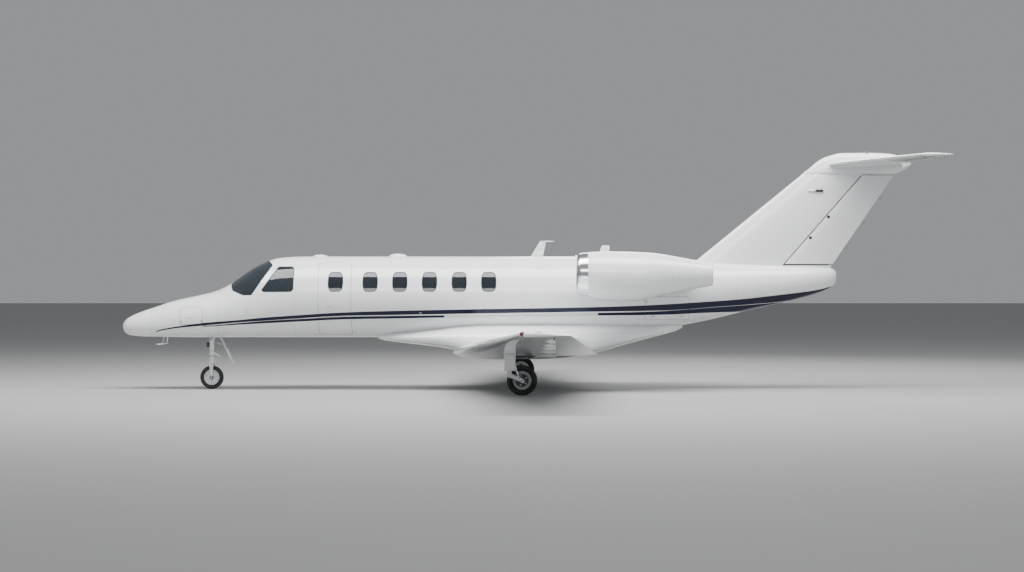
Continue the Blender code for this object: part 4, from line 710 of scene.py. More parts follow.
def on_side(outline, side):
    """An outline of stations and heights, as stations and arc lengths round the fuselage."""
    stations, heights = np.array(outline, float).T
    return np.column_stack([stations, side_angle(stations, heights, side) * ARC_SCALE])


def on_skin(flat, depth):
    """Lay stations and arc lengths on the fuselage's skin."""
    return round_body(flat[:, 0], flat[:, 1] / ARC_SCALE, depth)


def four_corners(front, rear, low, high):
    """An upright rectangle's corners."""
    return [(front, low), (rear, low), (rear, high), (front, high)]


def patch(shape, loop, proud, mark, depth=0.004):
    """A thin plate let into the skin, standing proud of it by a little."""
    laid_solid(shape, lambda p, d: on_skin(p, d - proud), loop, [], depth, 0.02, (mark, mark, mark))


def round_patch(shape, place, radius, count, proud, mark):
    """A round plate let into the skin at a station and an arc length."""
    patch(shape, superellipse(place, (radius, radius), 2.0, count), proud, mark)


def airfoil(thick, camber, fractions):
    """Height of an airfoil's top and underside at chord fractions, for a chord of one metre."""
    u = np.asarray(fractions, float)
    half = 5 * thick * (0.2969 * np.sqrt(u) - 0.1260 * u - 0.3516 * u**2 + 0.2843 * u**3 - 0.1036 * u**4)
    half = half + 0.0025 * u
    line = 4 * camber * u * (1 - u)
    return line + half, line - half


def piece(name, shape, finishes, body="airframe", slot="body_paint", replaces=(), angle=35, merge=0.0):
    """Make an object of a shape, with its finishes, riding on a body."""
    mesh = bpy.data.meshes.new(name)
    mesh.from_pydata(shape.points, [], shape.faces)
    for finish in finishes:
        mesh.materials.append(finish)
    mesh.polygons.foreach_set("material_index", np.array(shape.marks, np.int32))
    work = bmesh.new()
    work.from_mesh(mesh)
    if merge > 0:
        bmesh.ops.remove_doubles(work, verts=work.verts, dist=merge)
    bmesh.ops.recalc_face_normals(work, faces=work.faces)
    work.to_mesh(mesh)
    work.free()
    mesh.shade_smooth()
    mesh.set_sharp_from_angle(angle=math.radians(angle))
    made = bpy.data.objects.new(name, mesh)
    bpy.context.scene.collection.objects.link(made)
    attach(made, body)
    if replaces:
        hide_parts(*replaces)
    return made


class Socket:
    """An output of a shader node. Arithmetic on it adds Math nodes to its tree."""

    def __init__(self, tree, output):
        self.tree = tree
        self.output = output

    def math(self, operation, *others, clamp=False):
        """A Math node on this output and others, which are sockets or numbers."""
        made = self.tree.nodes.new("ShaderNodeMath")
        made.operation = operation
        made.use_clamp = clamp
        for place, value in zip(made.inputs, (self, *others)):
            if isinstance(value, Socket):
                self.tree.links.new(value.output, place)
            else:
                place.default_value = value
        return Socket(self.tree, made.outputs[0])

    def turned_round(self, operation, number):
        """A Math node with a number before this output."""
        made = self.tree.nodes.new("ShaderNodeMath")
        made.operation = operation
        made.inputs[0].default_value = number
        self.tree.links.new(self.output, made.inputs[1])
        return Socket(self.tree, made.outputs[0])

    def __add__(self, other):
        return self.math("ADD", other)

    def __radd__(self, other):
        return self.math("ADD", other)

    def __sub__(self, other):
        return self.math("SUBTRACT", other)

    def __rsub__(self, other):
        return self.turned_round("SUBTRACT", other)

    def __mul__(self, other):
        return self.math("MULTIPLY", other)

    def __rmul__(self, other):
        return self.math("MULTIPLY", other)

    def __truediv__(self, other):
        return self.math("DIVIDE", other)

    def step(self, low, high):
        """0 below low and 1 above high, smooth between."""
        made = self.tree.nodes.new("ShaderNodeMapRange")
        made.interpolation_type = "SMOOTHSTEP"
        for name, value in (("From Min", low), ("From Max", high), ("To Min", 0.0), ("To Max", 1.0)):
            made.inputs[name].default_value = value
        self.tree.links.new(self.output, made.inputs["Value"])
        return Socket(self.tree, made.outputs["Result"])


class Finish:
    """A material under construction, with its Principled shader."""

    def __init__(self, name, colour, roughness, metallic=0.0, **plain):
        self.material = bpy.data.materials.new(name)
        self.material.use_nodes = True
        self.tree = self.material.node_tree
        self.shader = self.tree.nodes["Principled BSDF"]
        self.shader.inputs["Base Color"].default_value = (*colour, 1.0)
        self.shader.inputs["Roughness"].default_value = roughness
        self.shader.inputs["Metallic"].default_value = metallic
        for key, value in plain.items():
            self.input(key).default_value = value
        place = self.node("ShaderNodeTexCoord")
        self.place = Socket(self.tree, place.outputs["Object"])
        split = self.node("ShaderNodeSeparateXYZ", {}, {0: self.place})
        self.x, self.y, self.z = (Socket(self.tree, split.outputs[i]) for i in range(3))

    def input(self, key):
        """An input of the shader, by its name in small letters with _ for a space."""
        return next(i for i in self.shader.inputs if i.name.lower() == key.replace("_", " "))

    def node(self, kind, settings=None, inputs=None):
        """A node of any kind: its settings first, then its inputs as sockets or plain values."""
        made = self.tree.nodes.new(kind)
        for key, value in (settings or {}).items():
            setattr(made, key, value)
        for key, value in (inputs or {}).items():
            if isinstance(value, Socket):
                self.tree.links.new(value.output, made.inputs[key])
            else:
                made.inputs[key].default_value = value
        return made

    def stretched(self, x, y, z):
        """Object coordinates multiplied along each axis."""
        made = self.node("ShaderNodeVectorMath", {"operation": "MULTIPLY"}, {0: self.place, 1: (x, y, z)})
        return Socket(self.tree, made.outputs["Vector"])

    def noise(self, scale, detail=4.0, stretch=(1.0, 1.0, 1.0)):
        """A noise pattern, from 0 to 1."""
        made = self.node("ShaderNodeTexNoise", {},
                         {"Vector": self.stretched(*stretch), "Scale": scale, "Detail": detail})
        return Socket(self.tree, made.outputs[0])

    def cells(self, scale, stretch=(1.0, 1.0, 1.0)):
        """Distance to the nearest of many scattered points."""
        made = self.node("ShaderNodeTexVoronoi", {}, {"Vector": self.stretched(*stretch), "Scale": scale})
        return Socket(self.tree, made.outputs["Distance"])

    def mix(self, share, first, second):
        """Blend two colours, which are sockets or plain colours, by a share."""
        full = [c if isinstance(c, Socket) else (*c, 1.0) for c in (first, second)]
        made = self.node("ShaderNodeMix", {"data_type": "RGBA"}, {0: share, 6: full[0], 7: full[1]})
        return Socket(self.tree, made.outputs[2])

    def curve(self, at, table):
        """Height of a drawn line at a place, from a table of places and heights."""
        long, tall = STRIPE_X[1] - STRIPE_X[0], STRIPE_Z[1] - STRIPE_Z[0]
        made = self.node("ShaderNodeFloatCurve", {}, {"Value": (at - STRIPE_X[0]) / long})
        line = made.mapping.curves[0]
        spots = [((px - STRIPE_X[0]) / long, (pz - STRIPE_Z[0]) / tall) for px, pz in table]
        line.points[0].location = (0.0, spots[0][1] - 0.01)
        line.points[1].location = (1.0, spots[-1][1] + 0.01)
        for spot in spots:
            line.points.new(*spot)
        made.mapping.update()
        return Socket(self.tree, made.outputs[0]) * tall + STRIPE_Z[0]

    def between(self, value, low, high, soft):
        """1 where a value lies between two limits, with a soft edge."""
        return (value - low).step(-soft, soft) * (high - value).step(-soft, soft)

    def lines(self, value, places, width):
        """1 on narrow lines where a value passes any of some places."""
        total = None
        for place in places:
            near = 1.0 - (value - place).math("ABSOLUTE").step(width * 0.4, width)
            total = near if total is None else total.math("MAXIMUM", near)
        return total

    def frame_lines(self, across, up, soft, width):
        """1 on the four sides of an upright rectangle between two places along and two heights."""
        level, upright = self.between(self.x, *across, soft), self.between(self.z, *up, soft)
        return (self.lines(self.z, up, width) * level).math(
            "MAXIMUM", self.lines(self.x, across, width) * upright)

    def drive(self, **parts):
        """Link sockets to inputs of the shader, by name with _ for a space."""
        for key, value in parts.items():
            self.tree.links.new(value.output, self.input(key))
        return self

    def bump(self, height, distance, strength=1.0):
        """Bump from a height pattern."""
        made = self.node("ShaderNodeBump", {}, {"Height": height, "Distance": distance, "Strength": strength})
        self.tree.links.new(made.outputs["Normal"], self.shader.inputs["Normal"])
        return self


def gloss_paint(name, colour=WHITE, joints=(), spans=(), panels=(), stripes=False):
    """Glossy aircraft paint: a faint ripple, cloudy tone with painted shade that darkens it towards the
    bottom, fine joints, and the stripes.
    """
    made = Finish(name, colour, 0.20, coat_weight=0.7, coat_roughness=0.05, specular_ior_level=0.3)
    film_and_low_shade = made.noise(1.3, 5.0, (0.35, 1.0, 1.0))
    # Painted shade: below 1.6 m up the cloudy tone darkens the paint further, as the lower side lies in
    # shade.
    low = 1.0 - made.z.step(0.9, 1.6)
    shade = made.mix(film_and_low_shade * 0.10 + low * film_and_low_shade * 0.16, colour, tuple(c * 0.80 for c in colour))
    seams = None
    if joints:
        seams = made.lines(made.x, [x_of(s) for s in joints], 0.0045)
    if spans:
        across = made.lines(made.y.math("ABSOLUTE"), spans, 0.004)
        seams = across if seams is None else seams.math("MAXIMUM", across)
    for front, rear, low, high in panels:
        edges = made.frame_lines((x_of(front), x_of(rear)), (low, high), 0.001, 0.004)
        seams = edges if seams is None else seams.math("MAXIMUM", edges)
    if seams is not None:
        shade = made.mix(seams * 0.55, shade, SEAM_GREY)
    if stripes:
        soft = 0.0022
        upper, lower = (
            made.between(made.z, made.curve(made.x, low) - STRIPE_GROWTH,
                         made.curve(made.x, top) + STRIPE_GROWTH, soft)
            * made.x.step(top[0][0] - soft, top[0][0] + soft)
            for low, top in ((UPPER_STRIPE_LOW, UPPER_STRIPE_TOP), (LOWER_STRIPE_LOW, LOWER_STRIPE_TOP)))
        # Painted reflection: over the wing the lower stripe fades towards white.
        wing_reflection = made.between(made.x, *STRIPE_WING_REFLECTION, 0.01)
        navy = upper.math("MAXIMUM", lower * (1.0 - wing_reflection * 0.75))
        mark = made.frame_lines(STRIPE_MARK[:2], STRIPE_MARK[2:], 0.002, 0.005)
        shade = made.mix(mark * 0.5, made.mix(navy, shade, NAVY), WHITE)
        made.drive(coat_weight=(1.0 - navy) * 0.65 + 0.05)
    made.drive(base_color=shade, roughness=film_and_low_shade * 0.10 + 0.14)
    ripple = made.noise(9.0, 2.0) * 0.3
    made.bump(ripple if seams is None else ripple - seams, 0.0006, 0.35)
    return made.material


def metal(name, colour, roughness, grain=(1.0, 60.0, 60.0), strength=0.12, spots=0.0):
    """Metal with a fine drawn grain and cloudy wear."""
    made = Finish(name, colour, roughness, 1.0)
    grained = made.noise(18.0, 6.0, grain)
    cloud = made.noise(7.0, 5.0)
    made.drive(base_color=made.mix(cloud * 0.45 + grained * spots, colour, tuple(c * 0.72 for c in colour)),
               roughness=grained * 0.14 + cloud * 0.10 + (roughness - 0.10))
    return made.bump(grained, 0.0004, strength).material


def enamel(name, colour, roughness=0.34):
    """Sprayed enamel of the landing gear: slight orange peel, with grease and dust in patches."""
    made = Finish(name, colour, roughness, coat_weight=0.25)
    dust = made.noise(14.0, 6.0).step(0.50, 0.72)
    made.drive(base_color=made.mix(dust * 0.35, colour, (0.35, 0.33, 0.30)),
               roughness=dust * 0.25 + roughness)
    return made.bump(made.noise(320.0, 2.0), 0.0003, 0.3).material


def rubber(name, colour=(0.022, 0.022, 0.024), roughness=0.78):
    """Tyre rubber: fine grain, paler where it is scuffed."""
    made = Finish(name, colour, roughness)
    grain = made.noise(240.0, 3.0)
    scuff = made.noise(16.0, 6.0).step(0.45, 0.75)
    made.drive(base_color=made.mix(scuff * 0.35, colour, (0.10, 0.098, 0.095)), roughness=grain * 0.18 + 0.66)
    return made.bump(grain, 0.0007, 0.5).material


def glass(name, colour, cover, roughness=0.03):
    """Tinted glass that lets some of the inside show, with a bright sheen."""
    made = Finish(name, colour, roughness, coat_weight=0.35, coat_roughness=0.02, specular_ior_level=0.45)
    smear = made.noise(5.0, 5.0, (1.0, 1.0, 0.4))
    made.drive(base_color=made.mix(smear * 0.5, colour, tuple(min(1.0, c * 1.8 + 0.01) for c in colour)),
               roughness=smear * 0.05 + 0.01, alpha=smear * 0.06 + cover)
    made.material.surface_render_method = "DITHERED"
    return made.material


def leather(name, colour):
    """Seat leather: pebbled grain, soft creases and a slight sheen."""
    made = Finish(name, colour, 0.5, coat_weight=0.12, coat_roughness=0.4)
    pebble = made.cells(420.0)
    crease = made.noise(26.0, 5.0)
    made.drive(base_color=made.mix(crease * 0.5 + pebble * 0.3, colour, tuple(c * 0.62 for c in colour)),
               roughness=crease * 0.2 + 0.38)
    return made.bump(pebble * 0.6 + crease, 0.0012, 0.55).material


def weave(name, colour, scale=520.0):
    """Short carpet pile: small tufts with uneven shading."""
    made = Finish(name, colour, 0.95, sheen_weight=0.3)
    tuft = made.cells(scale * 0.5)
    worn = made.noise(6.0, 5.0)
    made.drive(base_color=made.mix(tuft * 0.7 + worn * 0.3, colour, tuple(c * 0.5 for c in colour)))
    return made.bump(tuft, 0.002, 0.8).material


def veneer(name, colour):
    """Varnished wood with long grain."""
    made = Finish(name, colour, 0.3, coat_weight=0.6)
    rings = made.noise(9.0, 8.0, (1.0, 1.0, 0.12))
    pores = made.noise(160.0, 3.0, (1.0, 1.0, 0.05))
    made.drive(base_color=made.mix(rings.step(0.35, 0.65), colour, tuple(c * 0.45 for c in colour)),
               roughness=pores * 0.2 + 0.22)
    return made.bump(pores, 0.0003, 0.3).material


def moulded(name, colour, roughness=0.5):
    """Moulded plastic with a fine cast texture."""
    made = Finish(name, colour, roughness)
    grain = made.noise(420.0, 2.0)
    cloud = made.noise(11.0, 4.0)
    made.drive(base_color=made.mix(cloud * 0.35, colour, tuple(c * 0.75 for c in colour)),
               roughness=grain * 0.15 + roughness - 0.08)
    return made.bump(grain, 0.0004, 0.35).material


def lens(name, colour, glow=0.0):
    """A coloured lamp glass with moulded ribs inside."""
    made = Finish(name, colour, 0.06, coat_weight=1.0, emission_strength=glow)
    ribs = made.cells(160.0)
    made.shader.inputs["Emission Color"].default_value = (*colour, 1.0)
    made.drive(base_color=made.mix(ribs, colour, tuple(c * 0.45 for c in colour)))
    return made.bump(ribs, 0.0008, 0.4).material


STRIPED = gloss_paint("fuselage_paint", joints=SKIN_JOINTS, stripes=True)
PLAIN = gloss_paint("white_paint")
WING_PAINT = gloss_paint("wing_paint", spans=WING_JOINTS)
TAIL_PAINT = gloss_paint("tail_paint", spans=TAIL_JOINTS)
POLISHED = metal("polished_aluminium", (0.86, 0.87, 0.89), 0.14)
BARE = metal("machined_aluminium", (0.60, 0.61, 0.63), 0.36, (40.0, 1.0, 40.0), 0.2)
TITANIUM = metal("titanium", (0.46, 0.44, 0.42), 0.34, (60.0, 1.0, 1.0), 0.25)
BURNT = metal("heat_stained_steel", (0.42, 0.39, 0.36), 0.42, (1.0, 30.0, 30.0), 0.25, 0.5)
CHROME = metal("chrome", (0.88, 0.88, 0.90), 0.12, (60.0, 60.0, 1.0), 0.05)
DARK_METAL = metal("dark_metal", (0.10, 0.10, 0.11), 0.48)
GEAR_WHITE = enamel("gear_enamel", (0.74, 0.75, 0.76))
ZINC = enamel("primer_green", (0.34, 0.38, 0.28), 0.6)
TYRE = rubber("tyre_rubber")
# Dark rubber for seals, belts and the lock, also laid as painted shade in the coves, the wheel wells, the gap
# under the rudder and the nose hatches' edge gaps.
DARK_RUBBER_AND_SHADE = rubber("dark_rubber_and_painted_shade", (0.016, 0.017, 0.019), 0.6)
TINTED = glass("tinted_window", (0.010, 0.013, 0.018), 0.92)
CLEAR = glass("windshield_glass", (0.018, 0.024, 0.030), 0.78)
CREAM = leather("cream_leather", (0.60, 0.53, 0.43))
CARPET = weave("carpet", (0.30, 0.27, 0.23))
LINER = moulded("cabin_liner", (0.62, 0.60, 0.56), 0.6)
WOOD = veneer("cabinet_veneer", (0.42, 0.24, 0.12))
# Black plastic, also used as painted shade on the control surfaces' noses and round the rudder's hinge
# brackets.
BLACK_PLASTIC_AND_SHADE = moulded("black_plastic_and_painted_shade", (0.030, 0.031, 0.034), 0.5)
GREY_PLASTIC = moulded("grey_plastic", (0.16, 0.165, 0.175), 0.55)
SCREEN = lens("screen_glass", (0.012, 0.018, 0.026))
RED_LENS = lens("red_lens", (0.16, 0.006, 0.008))
GREEN_LENS = lens("green_lens", (0.006, 0.22, 0.09))
CLEAR_LENS = lens("clear_lens", (0.40, 0.42, 0.44))
RIM_PAINT = enamel("rim_enamel", (0.70, 0.71, 0.72), 0.4)
COWL_PAINT = gloss_paint("cowl_paint", panels=(COWL_HATCH,))
SPINNER_PAINT = enamel("spinner_enamel", (0.10, 0.10, 0.11), 0.35)


def tapered_body(name, start, end, finishes, table=FUSELAGE, count=48, sides=96, angle=35, **where):
    """A closed body of a section table between two stations, its sections closest at the ends."""
    t = (1 - np.cos(np.linspace(0, math.pi, count))) / 2
    angles = even_angles(table, sides)
    rows = [round_body(np.full(sides, s), angles, 0.0, table) for s in start + (end - start) * t]
    return piece(name, Shape().grid(rows), finishes, angle=angle, **where)


def window_loop(station, side, inset=0.0):
    """Outline of a cabin window on the flat sheet of the fuselage's skin."""
    return on_side(drawn_in(superellipse((station, WINDOW_Z), (WINDOW_WIDTH / 2, WINDOW_HEIGHT / 2),
                                         WINDOW_POWERS, 64), inset), side)


def glass_loop(outline, side, inset=0.0, corner=0.050):
    """Outline of a cockpit window on the flat sheet of the fuselage's skin."""
    return on_side(spaced(drawn_in(rounded(outline, corner), inset), 0.03), side)


def door_loop(side, inset=0.0):
    """Outline of the cabin door, with rounded corners, on the flat sheet of the fuselage's skin."""
    low, high = (math.radians(a) * ARC_SCALE for a in DOOR_ANGLES)
    flat = spaced(drawn_in(rounded(four_corners(*DOOR, low, high), DOOR_CORNER), inset), 0.04)
    if side < 0:
        flat[:, 1] = math.pi * ARC_SCALE - flat[:, 1]
    return flat


def hatch_loop(row, side, inset=0.0):
    """Outline of a baggage door on the flat sheet of the fuselage's skin."""
    return on_side(spaced(drawn_in(rounded(four_corners(*row), HATCH_CORNER), inset), 0.04), side)


def sheet_outline(start, end, low):
    """The flat sheet that wraps once round the fuselage between two stations, from a low width on."""
    width = 2 * math.pi * ARC_SCALE
    across = int(round(width / SKIN_STEP))
    along = int(round((end - start) / SKIN_STEP))
    stations = np.linspace(start, end, along + 1)
    arcs = low + width * np.arange(across + 1) / across
    bottom = [(s, arcs[0]) for s in stations[:-1]]
    right = [(end, a) for a in arcs[:-1]]
    top = [(s, arcs[-1]) for s in stations[:0:-1]]
    left = [(start, a) for a in arcs[:0:-1]]
    return np.array(bottom + right + top + left)


def leg_well_loop():
    """Outline of the nose leg's well in the belly, on the flat sheet of the fuselage's skin."""
    front, rear, half_wide = LEG_WELL
    corners = []
    for station, y in four_corners(front, rear, -half_wide, half_wide):
        _, _, half, _, corner = columns(FUSELAGE, [station])[:, 0]
        across = math.copysign(math.asin((abs(y) / half) ** (corner / 2)), y)
        corners.append((station, (1.5 * math.pi + across) * ARC_SCALE))
    return spaced(rounded(corners, 0.03), 0.04)


def bulkhead(shape, station, inset, thick, mark):
    """A flat wall across the inside of the fuselage."""
    angles = np.linspace(0, 2 * math.pi, 64, endpoint=False)
    rows = [round_body(np.full(64, station), angles, inset), round_body(np.full(64, station), angles, inset)]
    rows[1][:, 0] += thick
    return shape.grid(rows, mark)


def skin_piece(start, end, holes, wall, bulkheads, seam_angle):
    """A hollow stretch of the fuselage with openings, its inner lining and its end walls.

    The sheet closes on itself at the seam's angle, and holes are moved round to lie on it.
    """
    width = 2 * math.pi * ARC_SCALE
    low = seam_angle * ARC_SCALE
    moved = []
    for hole in holes:
        turns = np.floor((hole[:, 1].mean() - low) / width)
        moved.append(hole - (0.0, turns * width))
    sheet = sheet_outline(start, end, low)
    shape = laid_solid(Shape(), on_skin, sheet, moved, wall, SKIN_STEP, (0, 1, 2), (low, low + width))
    for station in bulkheads:
        bulkhead(shape, station, wall, 0.015, 1)
    return shape


def fuselage():
    """Radome, nose, cabin, aft fuselage and tail cone."""
    tapered_body("nose_cone", 0.0, RADOME_END - HAIR, [STRIPED], replaces=("radome",), angle=60)

    wide = -DOOR_GAP
    holes = [hatch_loop(NOSE_DOOR, side, wide) for side, _ in SIDES]
    holes.append(leg_well_loop())
    shape = skin_piece(RADOME_END, NOSE_END - HAIR, holes, NOSE_WALL, (RADOME_END + 0.02, NOSE_END - 0.06),
                       math.pi / 2)
    floor_half = 0.40
    shape.block((x_of(1.12), -floor_half, 1.200), (x_of(1.88), floor_half, 1.225), 3, 0.004)
    for y in (-0.13, 0.13):
        shape.block((x_of(1.48), y - 0.006, 1.045), (x_of(1.92), y + 0.006, 1.199), 1)
    piece("nose_skin", shape, [STRIPED, LINER, GREY_PLASTIC, CARPET], replaces=("nose_shell",))

    holes = [door_loop(-1, wide), window_loop(DOOR_WINDOW_STATION, 1)]
    for side, _ in SIDES:
        holes += [window_loop(s, side) for s in WINDOW_STATIONS]
        holes += [glass_loop(WINDSHIELD, side), glass_loop(SIDE_WINDOW, side)]
    shape = skin_piece(NOSE_END, CABIN_END - HAIR, holes, CABIN_WALL, (NOSE_END + 0.03, CABIN_END - 0.03),
                       -math.pi / 2)
    for row in DOMES:
        dome(shape, *row)
    piece("cabin_skin", shape, [STRIPED, LINER, GREY_PLASTIC, PLAIN], replaces=("cabin_shell",))

    shape = skin_piece(CABIN_END, AFT_END - HAIR, [hatch_loop(AFT_DOOR, -1, wide)], AFT_WALL,
                       (CABIN_END + 0.03, AFT_END - 0.05), -math.pi / 2)
    piece("aft_skin", shape, [STRIPED, ZINC, GREY_PLASTIC], replaces=("aft_fuselage",), slot="aft_paint")
    tapered_body("tail_cone_skin", AFT_END, TAIL_END, [STRIPED], replaces=("tail_cone",), slot="aft_paint",
                 angle=50)
    tapered_body("belly_fairing", FAIRING[0][0], FAIRING[-1][0], [PLAIN], FAIRING, 110, 144,
                 replaces=("wing_fairing",))


def dome(shape, middle, half_length, half_across, height):
    """A low dome with a thin foot on the roof: an ellipsoid above the skin."""
    angles = np.linspace(0, 2 * math.pi, 40, endpoint=False)
    rows = []
    for share in np.linspace(0, 1, 12):
        reach = math.cos(share * math.pi / 2 * 0.985)
        rise = math.sin(share * math.pi / 2 * 0.985)
        rows.append(np.column_stack([x_of(middle) + half_length * reach * np.cos(angles),
                                     half_across * reach * np.sin(angles),
                                     np.full(40, DOME_FOOT_Z + (height + 0.015) * rise)]))
    return shape.grid(rows, 3)


def doors():
    """Cabin door with its steps and handle, and the baggage doors with their latches."""
    side = -1
    hole = window_loop(DOOR_WINDOW_STATION, side)
    shape = laid_solid(Shape(), on_skin, door_loop(side), [hole], CABIN_WALL, SKIN_STEP, (0, 1, 2))
    front, rear, z = DOOR_HANDLE
    arc = on_side([((front + rear) / 2, z)], side)[0, 1]
    patch(shape, rounded(four_corners(front, rear, arc - 0.020, arc + 0.020), 0.018), 0.003, 3, 0.006)
    inner = CABIN_RADIUS - CABIN_WALL
    front, rear = x_of(DOOR[0] + 0.10), x_of(DOOR[1] - 0.10)
    for a in np.radians(DOOR_STEP_ANGLES):
        y, z = -inner * math.cos(a), CABIN_AXIS_Z + inner * math.sin(a)
        shape.block((front, y - 0.005, z - 0.012), (rear, y + 0.045, z + 0.012), 4, 0.004)
    piece("entry_door", shape, [STRIPED, LINER, DARK_RUBBER_AND_SHADE, POLISHED, GREY_PLASTIC], "cabin_door",
          replaces=("cabin_door",))
    for side, hand in SIDES:
        shape = laid_solid(Shape(), on_skin, hatch_loop(NOSE_DOOR, side), [], 0.020, 0.045, (0, 1, 2))
        # Painted shade: a thin dark plate along each edge gap of the hatch.
        for station in HATCH_SHADE_STATIONS:
            low, high = (on_side([(station, z)], side)[0, 1] for z in HATCH_SHADE_Z)
            slot = four_corners(station - 0.006, station + 0.006, low, high)
            patch(shape, spaced(np.array(slot), 0.03), PROUD, 2)
        round_patch(shape, on_side([HATCH_LOCK], side)[0], 0.016, 24, PROUD, 2)
        piece(f"nose_hatch_{hand}", shape, [STRIPED, LINER, DARK_RUBBER_AND_SHADE, BARE], f"nose_baggage_door_{hand}",
              replaces=(f"nose_baggage_door_{hand}",))
    shape = laid_solid(Shape(), on_skin, hatch_loop(AFT_DOOR, -1), [], 0.022, 0.045, (0, 1, 2))
    for station in AFT_LATCHES:
        latch(shape, station, AFT_LATCH_Z, -1)
    piece("aft_hatch", shape, [STRIPED, ZINC, DARK_RUBBER_AND_SHADE, BARE], "aft_baggage_door", "aft_paint",
          replaces=("aft_baggage_door",))


def latch(shape, station, z, side):
    """A flush latch: a rounded plate with a push button, a little proud of the skin."""
    arc = on_side([(station, z)], side)[0, 1]
    plate = four_corners(station - 0.035, station + 0.035, arc - 0.022, arc + 0.022)
    patch(shape, rounded(plate, 0.010), 0.0015, 3)
    round_patch(shape, (station - 0.012, arc), 0.010, 16, 0.0035, 3)


def pane(shape, loop, inner_loop, step=0.05):
    """A window pane, and the thin dark seal round it."""
    for outline, holes, depth, thick, mark in ((inner_loop, [], PANE_DEPTH, PANE_THICK * 0.5, 0),
                                               (loop, [inner_loop], 0.0010, PANE_THICK * 0.8, 1)):
        laid_solid(shape, lambda p, d, under=depth: on_skin(p, under + d), outline, holes, thick, step,
                   (mark, mark, mark))


def glazing():
    """Panes of the cabin and the cockpit, each in its seal."""
    tight = 0.0008
    for side, hand in SIDES:
        stations = WINDOW_STATIONS if side < 0 else (DOOR_WINDOW_STATION, *WINDOW_STATIONS)
        shape = Shape()
        for s in stations:
            pane(shape, window_loop(s, side, tight), window_loop(s, side, RIM_WIDTH))
        piece(f"cabin_panes_{hand}", shape, [TINTED, DARK_RUBBER_AND_SHADE], slot="window_glass",
              replaces=(f"cabin_windows_{hand}",))
        for outline, name in ((WINDSHIELD, "windshield"), (SIDE_WINDOW, "cockpit_window")):
            shape = Shape()
            pane(shape, glass_loop(outline, side, tight), glass_loop(outline, side, RIM_WIDTH * 1.3))
            piece(f"{name}_pane_{hand}", shape, [CLEAR, DARK_RUBBER_AND_SHADE], slot="window_glass",
                  replaces=(f"{name}_{hand}",))
    shape = Shape()
    pane(shape, window_loop(DOOR_WINDOW_STATION, -1, tight), window_loop(DOOR_WINDOW_STATION, -1, RIM_WIDTH))
    piece("door_pane", shape, [TINTED, DARK_RUBBER_AND_SHADE], "cabin_door", "window_glass", replaces=("door_window",))


def wing_row(y):
    """Leading and trailing station, height and thickness of the wing at a distance from the centre line."""
    t = (y - WING_ROOT_Y) / (WING_TIP_Y - WING_ROOT_Y)
    return [a + (b - a) * t for a, b in zip(WING_ROOT, WING_TIP)]


def on_wing(y, fraction, height, side):
    """Points of the wing from chord fractions and heights over the chord line in metres."""
    lead, trail, z, _ = wing_row(y)
    chord = trail - lead
    fraction, height = np.asarray(fraction, float), np.asarray(height, float)
    lift = height - WING_INCIDENCE * chord * (fraction - 0.25)
    return np.column_stack([x_of(lead + chord * fraction), side * (y - lift * math.sin(DIHEDRAL)),
                            z + lift * math.cos(DIHEDRAL)])


def wing_edges(y, fractions):
    """Heights of the wing's top and underside at chord fractions."""
    lead, trail, _, thick = wing_row(y)
    top, low = airfoil(thick, WING_CAMBER, fractions)
    return top * (trail - lead), low * (trail - lead)


def split_section(split, half, chord, edges, cove):
    """A section from its rear end over the top and round the nose. With a cove it stops at the hinge.

    Chord fractions and heights; the cove is an arc about the hinge that starts under a thin lip.
    """
    room = half + SURFACE_GAP
    rise = (half - LIP_THICK) / room
    start = math.pi - math.asin(rise)
    cut = split + math.cos(start) * room / chord
    ahead = cut * (1 - np.cos(np.linspace(0, math.pi / 2, 26)))
    behind = np.linspace(cut, 1.0, COVE_POINTS + 1)[1:]
    top_ahead, low_ahead = edges(ahead)
    middle = sum(float(e[0]) for e in edges(np.array([split]))) / 2
    if cove:
        angles = np.linspace(math.pi, start, COVE_POINTS)
        arc_u = split + np.cos(angles) * room / chord
        arc_v = np.sin(angles) * room
        rear_u, top_v, low_v = arc_u, middle + arc_v, middle - arc_v
    else:
        rear_u = behind[::-1]
        top_v, low_v = edges(rear_u)
    u = np.concatenate([rear_u, ahead[::-1], ahead[1:], rear_u[::-1]])
    v = np.concatenate([top_v, top_ahead[::-1], low_ahead[1:], low_v[::-1]])
    return u, v


def paint_cove_shade(marks, coves, mark):
    """Painted shade: mark the inside of the coves dark, where a row or the next one has a cove."""
    for i, (here, after) in enumerate(zip(coves, coves[1:])):
        if here or after:
            marks[i, :COVE_POINTS - 1] = mark
            marks[i, -COVE_POINTS:] = mark


def surface_section(split, half, edges, chord, fractions):
    """A section of a control surface: a round nose about its hinge, then straight to the trailing edge."""
    middle = sum(float(e[0]) for e in edges(np.array([split]))) / 2
    nose = half * NOSE_ROUND
    angles = np.radians(np.linspace(96, 264, 19))
    top, low = edges(np.array(fractions))
    u = np.concatenate([split + nose * np.cos(angles) / chord, fractions, fractions[::-1]])
    v = np.concatenate([middle + nose * np.sin(angles), low, top[::-1]])
    return u, v


def nose_shade_marks(rows):
    """Finish numbers of a control surface whose rounded nose is painted dark up to its skin: painted shade in
    the hinge gap.
    """
    marks = np.zeros((len(rows) - 1, len(rows[0])), int)
    marks[:, 1:17] = 2
    return marks


def wing_half(y):
    """Half the wing's depth at the hinge line."""
    top, low = wing_edges(y, np.array([WING_SPLIT]))
    return float(top[0] - low[0]) / 2


def wing_section(y, cove):
    """Chord fractions and heights round the wing's section at a distance from the centre line."""
    lead, trail, _, _ = wing_row(y)
    return split_section(WING_SPLIT, wing_half(y), trail - lead, lambda f: wing_edges(y, f), cove)


